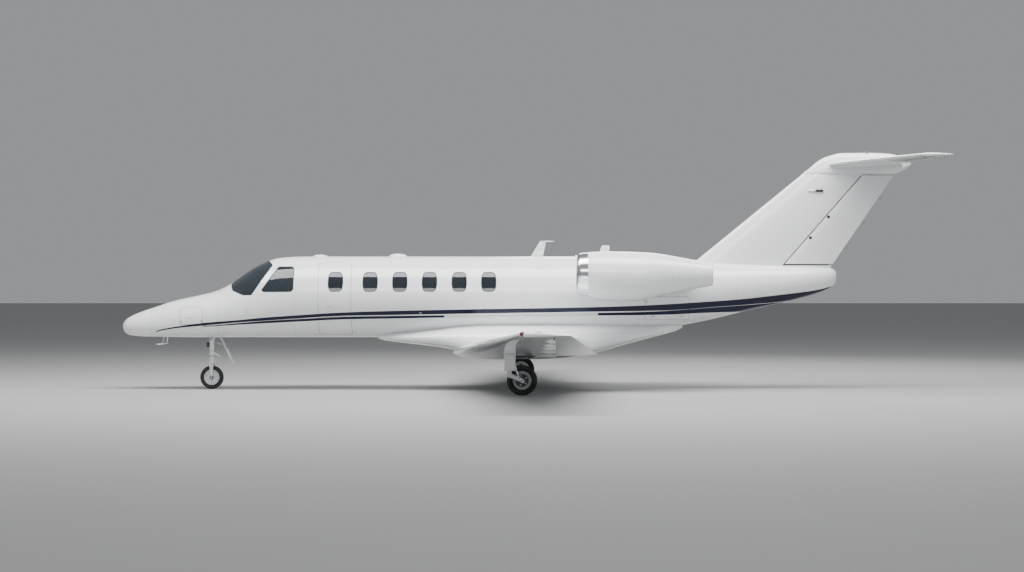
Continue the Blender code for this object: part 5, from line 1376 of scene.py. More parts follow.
def wings():
    """Both wings in one skin each, with coves for the surfaces, and lamps, wicks and flap tracks."""
    inner_flap, outer_flap = FLAP_SPAN[0] - SURFACE_GAP, FLAP_SPAN[1] + SURFACE_GAP
    inner_ail, outer_ail = AILERON_SPAN[0] - SURFACE_GAP, AILERON_SPAN[1] + SURFACE_GAP
    spans = [(0.60, False), (inner_flap, False)]
    spans += [(y, True) for y in np.linspace(inner_flap, outer_flap, 9)]
    spans += [(outer_flap, False), (inner_ail, False)]
    spans += [(y, True) for y in np.linspace(inner_ail, outer_ail, 9)]
    spans += [(outer_ail, False), (7.90, False), (8.00, False)]
    tip = [(TIP_START + TIP_ROUND * math.sin(a), math.cos(a)) for a in np.radians((20, 40, 55, 68, 78, 85))]
    for side, hand in SIDES:
        rows = []
        for y, cove in spans:
            rows.append(on_wing(y, *wing_section(y, cove), side))
        for y, scale in tip:
            u, v = wing_section(y, False)
            squeeze = 0.35 + 0.65 * scale
            row = on_wing(y, 0.5 + (u - 0.5) * squeeze, v * scale, side)
            row[:, 1] = side * y
            rows.append(row)
        rows = np.array(rows)
        middle = rows.shape[1] // 2
        marks = np.zeros((len(rows) - 1, rows.shape[1]), int)
        marks[:len(spans) - 1, middle - 9:middle + 9] = 1
        paint_cove_shade(marks, [cove for _, cove in spans], 5)
        shape = Shape().grid(rows, marks)
        wing_fittings(shape, side)
        tip_lens = RED_LENS if side < 0 else GREEN_LENS
        piece(f"wing_skin_{hand}", shape, [WING_PAINT, POLISHED, tip_lens, CLEAR_LENS, BLACK_PLASTIC_AND_SHADE, DARK_RUBBER_AND_SHADE],
              slot="surface_paint", replaces=(f"wing_{hand}",), angle=40, merge=1e-6)
        for span, kind in ((FLAP_SPAN, "flap"), (AILERON_SPAN, "aileron")):
            rows = []
            for y in np.linspace(*span, 9):
                lead, trail, _, _ = wing_row(y)
                u, v = surface_section(WING_SPLIT, wing_half(y), lambda f, at=y: wing_edges(at, f),
                                       trail - lead, np.linspace(0.76, 1.0, 5))
                rows.append(on_wing(y, u, v, side))
            shape = Shape().grid(rows, nose_shade_marks(rows))
            for y in AILERON_WICKS if kind == "aileron" else ():
                wick(shape, on_wing(y, [1.0], [0.0], side)[0] + (0, 0, 0.002), 0.02, 0.085, 0.002)
            piece(f"{kind}_skin_{hand}", shape, [WING_PAINT, BARE, BLACK_PLASTIC_AND_SHADE], f"{kind}_{hand}",
                  "surface_paint", replaces=(f"{kind}_{hand}",), angle=40)


def wing_fittings(shape, side):
    """Tip lamps, landing lamp, fuel cap, flap track fairings and two short wicks on a wing."""
    for front, rear, y, mark in ((0.02, 0.14, 8.070, 2), (0.24, 0.54, 8.085, 3)):
        rows = []
        for share in np.linspace(0.04, 0.96, 9):
            reach = math.sin(share * math.pi) ** 0.5
            angles = np.linspace(0, 2 * math.pi, 16, endpoint=False)
            u = front + (rear - front) * share
            centre = on_wing(y, [u], [0.012], side)[0]
            rows.append(np.column_stack([np.full(16, centre[0]),
                                         centre[1] + side * 0.032 * reach * np.cos(angles),
                                         centre[2] + 0.040 * reach * np.sin(angles)]))
        shape.grid(rows, mark)
    lamp = on_wing(3.9, [0.004], [0.0], side)[0]
    shape.tube([lamp + (-0.012, -0.10, 0.0), lamp + (-0.016, -0.05, 0.0), lamp + (-0.016, 0.05, 0.0),
                lamp + (-0.012, 0.10, 0.0)], 0.014, 12, 3)
    cap_y, cap_u = 6.9, 0.42
    top, _ = wing_edges(cap_y, np.array([cap_u]))
    centre = on_wing(cap_y, [cap_u], [top[0]], side)[0]
    cap = [(0.001, -0.006), (0.045, -0.006), (0.045, 0.002), (0.040, 0.004), (0.001, 0.004)]
    shape.turned(cap, centre, 32, 2, 1)
    for y in FLAP_TRACKS:
        _, low = wing_edges(y, np.array([0.60, WING_SPLIT]))
        u = np.array([0.58, WING_SPLIT])
        start, end = on_wing(y, u, np.array([low[0] - 0.004, low[1] - 0.010]), side)
        rows = []
        for share in np.linspace(0, 1, 7):
            depth = 0.030 * math.sin(max(share, 0.02) * math.pi * 0.62)
            p = start + (end - start) * share
            rows.append([(p[0], p[1] - 0.011, p[2] + 0.02), (p[0], p[1] + 0.011, p[2] + 0.02),
                         (p[0], p[1] + 0.006, p[2] - depth), (p[0], p[1] - 0.006, p[2] - depth)])
        shape.grid(rows, 0)
    for y in (7.80, 7.95):
        tail = on_wing(y, [0.998], [0.0], side)[0]
        shape.tube([tail + (-0.03, 0, 0.003), tail + (0.0, 0, 0.003)], 0.0035, 8, 4)
    well(shape, side)


def well(shape, side):
    """Painted shade of the wheel well under a wing: dark plates on its underside where the well's open mouth
    is.
    """
    wheel_y, radius = WHEEL_WELL
    ahead, behind, inner, outer = LEG_SLOT
    pivot_x = x_of(MAIN_PIVOT[0])
    slot = four_corners(pivot_x + ahead, pivot_x + behind, side * inner, side * outer)
    circle = superellipse((x_of(MAIN_WHEEL_STATION) - 0.02, side * wheel_y), (radius, radius), 2.0, 48)

    def under(flat, depth):
        rows = []
        for x, y in flat:
            lead, trail, _, _ = wing_row(abs(y))
            fraction = (x - x_of(lead)) / (trail - lead)
            _, low = wing_edges(abs(y), np.array([fraction]))
            rows.append(on_wing(abs(y), [fraction], [low[0] - 0.0015 + depth], side)[0])
        return np.array(rows)

    for loop in (spaced(rounded(slot, 0.02), 0.08), circle):
        laid_solid(shape, under, loop, [], 0.006, 0.08, (5, 5, 5))


def wick(shape, tail, bend, reach, rise):
    """A static wick: a thin tapering rod on a trailing edge, its end a little raised."""
    tail = np.array(tail, float)
    shape.tube([tail + (-0.03, 0, 0), tail + (bend, 0, 0), tail + (reach, 0, rise)], WICK_RADII, 8, 2)


def fin_at(line, z):
    """Station of a line of the fin at a height."""
    (s0, z0), (s1, z1) = line
    return s0 + (s1 - s0) * (z - z0) / (z1 - z0)


def even_edges(thick, chord):
    """A function that gives both faces of a section with no camber, in metres, at chord fractions."""
    def edges(fractions):
        top, low = airfoil(thick, 0.0, fractions)
        return top * chord, low * chord

    return edges


def fin_parts(z):
    """Leading station, chord, hinge fraction, half depth at the hinge, and edges of the fin at a height."""
    lead = fin_at(FIN_LEAD, z)
    chord = fin_at(FIN_TRAIL, z) - lead
    edges = even_edges(FIN_THICK, chord)
    split = (fin_at(FIN_HINGE, z) - lead) / chord
    return lead, chord, split, float(edges(np.array([split]))[0][0]), edges


def tail():
    """Fin, rudder, stabilizer with its bullet fairing, and elevators."""
    rows = []
    low_bay = RUDDER_Z[0] - RUDDER_ROOM
    heights = [FIN_ROOT_Z, low_bay, *np.linspace(low_bay, FIN_TOP_Z, 9)]
    coves = [False, False] + [True] * 9
    for z, cove in zip(heights, coves):
        lead, chord, split, half, edges = fin_parts(z)
        u, v = split_section(split, half, chord, edges, cove)
        rows.append(np.column_stack([x_of(lead + chord * u), v, np.full(len(u), z)]))
    rows = np.array(rows)
    marks = np.zeros((len(rows) - 1, rows.shape[1]), int)
    paint_cove_shade(marks, coves, 5)
    shape = Shape().grid(rows, marks)
    # A thin dark plate in the gap under the rudder: painted shade in that gap.
    shape.block((x_of(12.90), -0.012, low_bay - 0.010), (x_of(13.79), 0.012, RUDDER_Z[0] - 0.008), 5, 0.002)
    vane(shape)
    beacon(shape)
    piece("fin_skin", shape, [TAIL_PAINT, POLISHED, RED_LENS, BLACK_PLASTIC_AND_SHADE, BARE, DARK_RUBBER_AND_SHADE],
          slot="surface_paint", replaces=("fin",), angle=40, merge=1e-6)

    rows = []
    for z in np.linspace(*RUDDER_Z, 12):
        lead, chord, split, half, edges = fin_parts(z)
        u, v = surface_section(split, half, edges, chord, np.linspace(split + 0.06, 1.0, 6))
        rows.append(np.column_stack([x_of(lead + chord * u), v, np.full(len(u), z)]))
    shape = Shape().grid(rows, nose_shade_marks(rows))
    for z in RUDDER_WICKS:
        wick(shape, (x_of(fin_at(FIN_TRAIL, z)), 0, z), 0.03, 0.10, 0.004)
    for z in RUDDER_NOTCHES:
        notch(shape, z)
    piece("rudder_skin", shape, [TAIL_PAINT, BARE, BLACK_PLASTIC_AND_SHADE], "rudder", "surface_paint",
          replaces=("rudder",), angle=40)

    stabilizer()


def notch(shape, z):
    """Painted shade of the cut-out round a hinge bracket: a dark patch on each side of the rudder's nose."""
    lead, chord, split, _, edges = fin_parts(z)
    outer = rounded([(-0.010, -0.026), (0.048, -0.034), (0.062, 0.012), (0.004, 0.028)], 0.012)
    for side, _ in SIDES:

        def place(flat, depth, s=side):
            share = split + flat[:, 0] / chord
            top, _ = edges(share)
            return np.column_stack([x_of(lead + chord * share), s * (top + PROUD - depth), z + flat[:, 1]])

        laid_solid(shape, place, outer, [], 0.004, 0.02, (2, 2, 2))


def vane(shape):
    """The slim vane on each side of the fin, its rear half dark."""
    front, rear, z, off = x_of(VANE[0]), x_of(VANE[1]), *VANE[2:]
    half = (rear - front) / 2
    for side, _ in SIDES:
        for places, radii, mark in (((front, front + half * 0.3, front + half), (0.006, 0.016, 0.016), 0),
                                    ((front + half + 0.001, rear - 0.02, rear), (0.024, 0.024, 0.012), 3)):
            shape.tube([(x, side * off, z) for x in places], radii, 12, mark)


def beacon(shape):
    """The red beacon on the bullet fairing's top, on its metal foot."""
    x = x_of(BEACON_STATION)
    for low, high, radius, mark in ((4.590, 4.6055, 0.052, 4), (4.606, 4.628, 0.044, 2)):
        rows = []
        for share in np.linspace(0, 1, 8):
            r = radius * math.sqrt(1 - (share * 0.97) ** 2)
            rows.append(level_ring((x, 0), (r, r), 2.0, 32, low + (high - low) * share))
        shape.grid(rows, mark)


def stabilizer_row(y):
    """Leading and trailing station of the stabilizer at a distance from the centre line."""
    t = abs(y) / (STABILIZER_HALF_SPAN - STABILIZER_TIP_ROUND)
    return [a + (b - a) * t for a, b in zip(STABILIZER_ROOT, STABILIZER_TIP)]


def stabilizer_parts(y):
    """Leading station, chord, half depth at the hinge, and edges of the stabilizer."""
    lead, trail = stabilizer_row(y)
    edges = even_edges(STABILIZER_THICK, trail - lead)
    return lead, trail - lead, float(edges(np.array([STABILIZER_SPLIT]))[0][0]), edges


def stabilizer():
    """The stabilizer in one skin with coves for the elevators, the bullet fairing, and the elevators."""
    joint = STABILIZER_HALF_SPAN - STABILIZER_TIP_ROUND
    inner, outer = ELEVATOR_SPAN[0] - SURFACE_GAP * 1.6, ELEVATOR_SPAN[1] + SURFACE_GAP
    half_spans = [(inner, False)] + [(y, True) for y in np.linspace(inner, outer, 8)] + [(outer, False),
                                                                                        (joint, False)]
    spans = [(-y, cove) for y, cove in half_spans[::-1]] + half_spans
    rows = []

    def section(y, cove, place, scale):
        lead, chord, half, edges = stabilizer_parts(y)
        u, v = split_section(STABILIZER_SPLIT, half, chord, edges, cove)
        return np.column_stack([x_of(lead + chord * (0.5 + (u - 0.5) * (0.4 + 0.6 * scale))),
                                np.full(len(u), place), STABILIZER_Z + v * scale])

    tips = [(joint + STABILIZER_TIP_ROUND * math.sin(a), math.cos(a))
            for a in np.radians((25, 45, 62, 75, 85))]
    rows += [section(joint, False, -place, scale) for place, scale in tips[::-1]]
    rows += [section(y, cove, y, 1.0) for y, cove in spans]
    rows += [section(joint, False, place, scale) for place, scale in tips]
    rows = np.array(rows)
    middle = rows.shape[1] // 2
    marks = np.zeros((len(rows) - 1, rows.shape[1]), int)
    marks[len(tips):-len(tips), middle - 8:middle + 8] = 1
    paint_cove_shade(marks[len(tips):], [cove for _, cove in spans], 2)
    shape = Shape().grid(rows, marks)
    angles = np.linspace(0, 2 * math.pi, 48, endpoint=False)
    t = (1 - np.cos(np.linspace(0, math.pi, 40))) / 2
    stations = BULLET[0][0] + (BULLET[-1][0] - BULLET[0][0]) * t
    rows = np.array([round_body(np.full(48, s), angles, 0.0, BULLET) for s in stations])
    rows[:, :, 2] = np.maximum(rows[:, :, 2], FIN_TOP_Z + HAIR)
    shape.grid(rows, 0)
    piece("stabilizer_skin", shape, [TAIL_PAINT, POLISHED, DARK_RUBBER_AND_SHADE], slot="surface_paint",
          replaces=("stabilizer",), angle=40, merge=1e-6)
    for side, hand in SIDES:
        rows = []
        for y in np.linspace(*ELEVATOR_SPAN, 9):
            lead, chord, half, edges = stabilizer_parts(y)
            u, v = surface_section(STABILIZER_SPLIT, half, edges, chord, np.linspace(0.74, 1.0, 5))
            rows.append(np.column_stack([x_of(lead + chord * u), np.full(len(u), side * y),
                                         STABILIZER_Z + v]))
        shape = Shape().grid(rows, nose_shade_marks(rows))
        for y in ELEVATOR_WICKS:
            wick(shape, (x_of(stabilizer_row(y)[1]), side * y, STABILIZER_Z), 0.015, 0.07, 0.002)
        piece(f"elevator_skin_{hand}", shape, [TAIL_PAINT, BARE, BLACK_PLASTIC_AND_SHADE], f"elevator_{hand}",
              "surface_paint", replaces=(f"elevator_{hand}",), angle=40)


def ring_at(row, side, count=96):
    """A circle about an engine's axis from a station, radius and axis height."""
    station, radius, z = row
    angle = np.linspace(0, 2 * math.pi, count, endpoint=False)
    return np.column_stack([np.full(count, x_of(station)), side * ENGINE_Y + radius * np.cos(angle),
                            z + radius * np.sin(angle)])


def rows_at(table, stations):
    """Rows of an engine table at any stations."""
    return [(s, *values) for s, values in zip(stations, columns(table, stations).T)]


def spread(table, ahead, behind, *more):
    """Stations along an engine table, closer together round its lip, with some given ones between."""
    return sorted({*np.linspace(table[0][0], LIP_CURVE_END, ahead),
                   *np.linspace(LIP_CURVE_END, table[-1][0], behind), *more})


def engines():
    """Cowls with polished lips and stained tailpipes, engines with guide vanes, twisted fans, and pylons."""
    out_rows = rows_at(COWL, spread(COWL, 6, 44, LIP_END, NOZZLE_RING))
    in_rows = rows_at(DUCT, spread(DUCT, 5, 36, NOZZLE_START))[::-1]
    for side, hand in SIDES:
        front = (COWL[0][0] - 0.008, (COWL[0][1] + DUCT[0][1]) / 2, COWL[0][2])
        loop = [front, *out_rows, *in_rows, front]
        rows = np.array([ring_at(row, side) for row in loop])
        marks = []
        for row, after in zip(loop[:-1], loop[1:]):
            inside_now = len(marks) > len(out_rows)
            station = (row[0] + after[0]) / 2
            if station < LIP_END:
                marks.append(1)
            elif station > (NOZZLE_START if inside_now else NOZZLE_RING):
                marks.append(3)
            else:
                marks.append(2 if inside_now else 0)
        shape = Shape().grid(rows, np.array(marks)[:, None], caps=False)
        cowl_fittings(shape, side)
        piece(f"cowl_{hand}", shape, [COWL_PAINT, POLISHED, BARE, BURNT, TITANIUM], slot="cowl_paint",
              replaces=(f"nacelle_{hand}",), angle=50, merge=1e-6)
        core(side, hand)
        fan(side, hand)
        pylon(side, hand)


def cowl_fittings(shape, side):
    """Latches along the cowl's underside and a drain mast."""
    y = side * ENGINE_Y
    for station in COWL_LATCHES:
        _, radius, axis_z = rows_at(COWL, [station])[0]
        x, z = x_of(station), axis_z - radius
        shape.block((x - 0.05, y - 0.014, z - 0.004), (x + 0.05, y + 0.014, z + 0.02), 4, 0.003)
    _, radius, axis_z = rows_at(COWL, [DRAIN_MAST])[0]
    x, z = x_of(DRAIN_MAST), axis_z - radius
    shape.tube([(x, y, z + 0.01), (x + 0.03, y, z - 0.035), (x + 0.07, y, z - 0.055)], 0.009, 10, 4)


def spokes(shape, count, first, centre, sections, mark):
    """Blades that stand out from an axle: at each radius a section, by distance along and around it."""
    for a in first + 2 * math.pi * np.arange(count) / count:
        radial, around = np.array((0, math.cos(a), math.sin(a))), np.array((0, -math.sin(a), math.cos(a)))
        shape.grid([[centre + radial * r + np.array((u, 0, 0)) + around * w for u, w in section]
                    for r, section in sections], mark)


def core(side, hand):
    """Guide vanes behind the fan, the engine's casing, and the exhaust cone with its struts."""
    shape = Shape()
    y = side * ENGINE_Y
    front, rear = CASING
    casing = [(front, 0.10, FAN_Z)]
    casing += [(s, 0.20 + 0.05 * math.sin((s - front) / (rear - front) * math.pi), 2.212)
               for s in np.linspace(front, rear, 16)]
    for mark, table in enumerate((casing, EXHAUST_CONE)):
        shape.grid([ring_at(row, side, 48) for row in table], mark)
    vanes = [(r, VANE_SECTION) for r in VANE_RADII]
    spokes(shape, GUIDE_VANES, 0.0, (x_of(VANE_STATION), y, FAN_Z), vanes, 2)
    hub = [(0.02, -0.10), (0.094, -0.085), (0.094, 0.12), (0.02, 0.13)]
    shape.turned(hub, (x_of(VANE_STATION + 0.015), y, FAN_Z), 48, 0, 0)
    struts = [(r, ((-reach, 0.0), (0.0, 0.008), (reach, 0.0), (0.0, -0.008))) for r, reach in STRUT_ROWS]
    spokes(shape, STRUTS, 0.3, (x_of(STRUT_PLACE[0]), y, STRUT_PLACE[1]), struts, 1)
    piece(f"engine_core_{hand}", shape, [DARK_METAL, BURNT, TITANIUM], slot="engine_metal",
          replaces=(f"engine_block_{hand}",), angle=50)


def fan(side, hand):
    """A fan: twisted blades, thin at the tip, on a hub with a pointed spinner."""
    shape = Shape()
    centre = np.array((x_of(FAN_STATION), side * ENGINE_Y, FAN_Z))
    profile = [(FAN_HUB_RADIUS * math.sqrt(1 - (1 - t) ** 1.7) + 0.0015, -0.245 + 0.175 * t)
               for t in np.linspace(0, 1, 20)]
    profile += [(FAN_HUB_RADIUS, 0.085), (0.032, 0.085), (0.032, -0.02), (0.0015, -0.02)]
    shape.turned(profile, centre, 64, 0, np.array([0] * 20 + [1] * 4))
    radii = np.linspace(FAN_HUB_RADIUS - 0.01, FAN_RADIUS - 0.001, 12)
    for i in range(FAN_BLADES):
        a = 2 * math.pi * i / FAN_BLADES
        rows = []
        for r in radii:
            share = (r - radii[0]) / (radii[-1] - radii[0])
            lean = side * math.radians(24 + 40 * share)
            half, thick = 0.050 + 0.014 * math.sin(share * 2.6), 0.0042 * (1 - 0.62 * share)
            sweep = 0.016 * share**2
            section = []
            for u, w in BLADE_SECTION:
                along, off = u * half, w * thick + 0.006 * (1 - u * u)
                aft = along * math.cos(lean) - off * math.sin(lean) + sweep
                turn = a + (along * math.sin(lean) + off * math.cos(lean)) / r
                section.append(centre + np.array((aft + 0.008, r * math.cos(turn), r * math.sin(turn))))
            rows.append(section)
        shape.grid(rows, 2)
    piece(f"fan_wheel_{hand}", shape, [SPINNER_PAINT, BARE, TITANIUM], f"fan_{hand}", "fan_metal",
          replaces=(f"fan_{hand}",), angle=50)


def pylon(side, hand):
    """The stub wing that carries an engine: an airfoil that flares a little at both ends."""
    lead, trail, z, thick = PYLON
    chord = trail - lead
    t = (1 - np.cos(np.linspace(0, math.pi, 28))) / 2
    top, low = airfoil(thick, 0.0, t)
    u = np.concatenate([t[::-1], t[1:]])
    v = np.concatenate([top[::-1], low[1:]])
    rows = []
    for y in np.linspace(0.52, 1.12, 13):
        flare = 1.0 + 0.35 * math.exp(-((y - 0.66) / 0.07) ** 2) + 0.30 * math.exp(-((y - 0.97) / 0.07) ** 2)
        rows.append(np.column_stack([x_of(lead + chord * u), np.full(len(u), side * y),
                                     z + v * chord * flare]))
    piece(f"pylon_skin_{hand}", Shape().grid(rows), [PLAIN], slot="cowl_paint", replaces=(f"pylon_{hand}",),
          angle=45)


def tyre_profile(sizes, grooves):
    """Closed profile of a tyre: an oval carcass with round grooves in its tread."""
    radius, half, rim = sizes
    middle, reach = (radius + rim + HAIR) / 2, (radius - rim - HAIR) / 2
    points = []
    for a in np.linspace(0, 2 * math.pi, 120, endpoint=False):
        c, s = math.cos(a), math.sin(a)
        r = middle + reach * np.sign(c) * abs(c) ** (2 / 2.6)
        along = half * np.sign(s) * abs(s) ** (2 / 2.3)
        if c > 0.3:
            for groove in grooves:
                r -= 0.007 * math.exp(-((along - groove * half) / (0.045 * half)) ** 2)
        if c < -0.55:
            along *= 0.90
        points.append((r, along))
    return points


def wheel(name, sizes, centre, body, outer_side, grooves, holes):
    """A wheel: grooved tyre with raised sidewall rings, and a rim with a pierced web, hub cap and bolts."""
    radius, half, rim = sizes
    centre = np.array(centre)
    shape = Shape().turned(tyre_profile(sizes, grooves), centre, 96)
    for side, _ in SIDES:
        for r in (rim + 0.016, rim + (radius - rim) * 0.52):
            foot, crest = side * half * 0.86, side * half * 0.955
            shape.turned([(r - 0.003, foot), (r, crest), (r + 0.003, foot)], centre, 96)
    piece(f"{name}_tyre_skin", shape, [TYRE], body, "tyre_rubber", replaces=(f"{name}_tyre",), angle=60)

    shape = Shape()
    lip, well_r = rim - 0.004, rim - 0.030
    flange = [(rim - 0.002, 0.90), (lip, 0.94), (lip - 0.010, 0.92), (lip - 0.014, 0.62), (well_r, 0.45)]
    flange += [(r, -a) for r, a in flange[::-1]] + [(rim - 0.006, -0.5), (rim - 0.006, 0.5)]
    shape.turned([(r, half * a) for r, a in flange], centre, 96)
    circle = superellipse((0, 0), (well_r + 0.002, well_r + 0.002), 2.0, 72)
    middle = well_r * 0.70
    hole = (well_r * 0.155, well_r * 0.155)
    pierced = [superellipse((math.cos(a) * middle, math.sin(a) * middle), hole, 2.0, 20)
               for a in np.linspace(0, 2 * math.pi, holes, endpoint=False)]
    pierced.append(superellipse((0, 0), (0.034, 0.034), 2.0, 28))
    for side, _ in SIDES:

        def web(flat, depth, s=side):
            dish = 0.012 * (1 - np.hypot(flat[:, 0], flat[:, 1]) / well_r)
            return np.column_stack([centre[0] + flat[:, 0], centre[1] + s * (half * 0.30 + dish - depth),
                                    centre[2] + flat[:, 1]])

        laid_solid(shape, web, circle, pierced, 0.010, 0.02, (0, 0, 0))
    hub = [(0.031, 0.72), (0.050, 0.70), (0.056, 0.40)]
    hub += [(r, -a) for r, a in hub[::-1]]
    shape.turned([(r, half * a) for r, a in hub], centre, 48, 1, 1)
    shape.turned([(r, outer_side * (half * 0.68 + a)) for r, a in HUB_CAP], centre, 48, 1, 1)
    for side, _ in SIDES:
        for a in np.linspace(0, 2 * math.pi, holes, endpoint=False) + math.pi / holes:
            spot = centre + (math.cos(a) * middle, side * half * 0.30, math.sin(a) * middle)
            shape.drum(0.0075, 0.0, side * 0.014, spot, 6, 1, 2)
    piece(f"{name}_rim_skin", shape, [RIM_PAINT, BARE, CHROME], body, "rim_metal", replaces=(f"{name}_rim",))


def nose_gear():
    """Nose leg with its bright piston, collar, torque links, drag brace, lamp and fork."""
    x = x_of(NOSE_WHEEL_STATION)
    shape = Shape()
    shape.turned(NOSE_LEG, (x, 0, 0), 48, 2, 0)
    shape.drum(*NOSE_PISTON, (x, 0, 0), 48, 2, 1)
    for side, _ in SIDES:
        shape.tube([(x + u, side * y, z) for u, y, z in NOSE_BRACE], 0.014, 14, 0)
    shape.tube([(x + u, y, z) for u, y, z in NOSE_HOSE], 0.005, 10, 2)
    shape.turned(LAMP_SHELL, (x - 0.050, 0, LAMP_Z), 40, 0, 2)
    shape.turned(LAMP_GLASS, (x - 0.052, 0, LAMP_Z), 40, 0, 3)
    torque_link(shape, (x + 0.056, 0, 0.70), (x + 0.150, 0, 0.635), 0.052, 0.026)
    piece("nose_leg_skin", shape, [GEAR_WHITE, CHROME, BLACK_PLASTIC_AND_SHADE, CLEAR_LENS, BARE], slot="gear_metal",
          replaces=("nose_leg",))

    shape = Shape()
    axle = (x, 0, NOSE_TYRE[0])
    shape.turned(FORK_CROWN, (x, 0, 0), 48, 2, 0)
    c, s = superellipse((0, 0), (1, 1), 2 / 0.6, 20).T
    for side, _ in SIDES:
        rows = [np.column_stack([x + half_x * c, side * (y + half_y * s * (0.2 if flat else 1.0)),
                                 z + half_y * s * flat]) for y, z, half_x, half_y, flat in FORK_BLADE]
        shape.grid(rows, 0)
        shape.drum(0.036, side * 0.070, side * 0.1015, axle, 40, 1, 3)
        shape.turned([(r, side * a) for r, a in AXLE_NUT], axle, 6, 1, 2)
    shape.tube([(x, y, NOSE_TYRE[0]) for y in (-0.09, -0.03, 0.03, 0.09)], 0.0195, 24, 2)
    torque_link(shape, (x + 0.050, 0, 0.545), (x + 0.148, 0, 0.618), 0.048, 0.022)
    shape.drum(0.016, -0.035, 0.035, (x + 0.150, 0, 0.627), 16, 1, 2)
    piece("nose_fork_skin", shape, [GEAR_WHITE, CHROME, BARE, DARK_METAL], "nose_steering", "gear_metal",
          replaces=("nose_fork",))
    wheel("nose", NOSE_TYRE, axle, "nose_wheel", -1, (-0.45, 0.0, 0.45), 6)

    (top_s, top_z), (low_s, low_z) = NOSE_GEAR_DOOR
    rows = []
    for t in np.linspace(0, 1, 12):
        s, z = top_s + (low_s - top_s) * t, top_z + (low_z - top_z) * t
        half = 0.113 * (1.0 - 0.10 * t**3)
        across = np.linspace(-1, 1, 13)
        bow = 0.012 * (1 - across**2)
        front = [(x_of(s) + 0.012 - b, half * a, z) for a, b in zip(across, bow)]
        back = [(x_of(s) + 0.0175 - b * 0.4, half * a * 0.96, z) for a, b in zip(across, bow)]
        rows.append(front + back[::-1])
    shape = Shape().grid(rows)
    for side, _ in SIDES:
        shape.tube([(x_of(station), side * y, z) for station, y, z in DOOR_ROD], 0.007, 10, 1)
    stiffener = [(x_of(top_s + (low_s - top_s) * t) + 0.026, 0.0, top_z + (low_z - top_z) * t)
                 for t in (0.40, 0.44, 0.70, 0.94, 0.98)]
    shape.tube(stiffener, (0.008, 0.017, 0.017, 0.017, 0.008), 16, 0)
    piece("nose_gear_door_skin", shape, [PLAIN, BARE], replaces=("nose_gear_door",))


def torque_link(shape, near, far, near_half, far_half):
    """One half of a torque link: two arms that close towards the far pin, with a bar at each end."""
    near, far = np.array(near), np.array(far)
    for side, _ in SIDES:
        start, end = near + (0, side * near_half * 0.8, 0), far + (0, side * far_half * 0.8, 0)
        shape.tube([start + (end - start) * t for t in (0, 0.35, 0.7, 1)], (0.011, 0.010, 0.009, 0.010), 10)
    for pin, half, radius in ((near, near_half, 0.012), (far, far_half, 0.011)):
        shape.tube([pin + (0, -half, 0), pin, pin + (0, half, 0)], radius, 14)


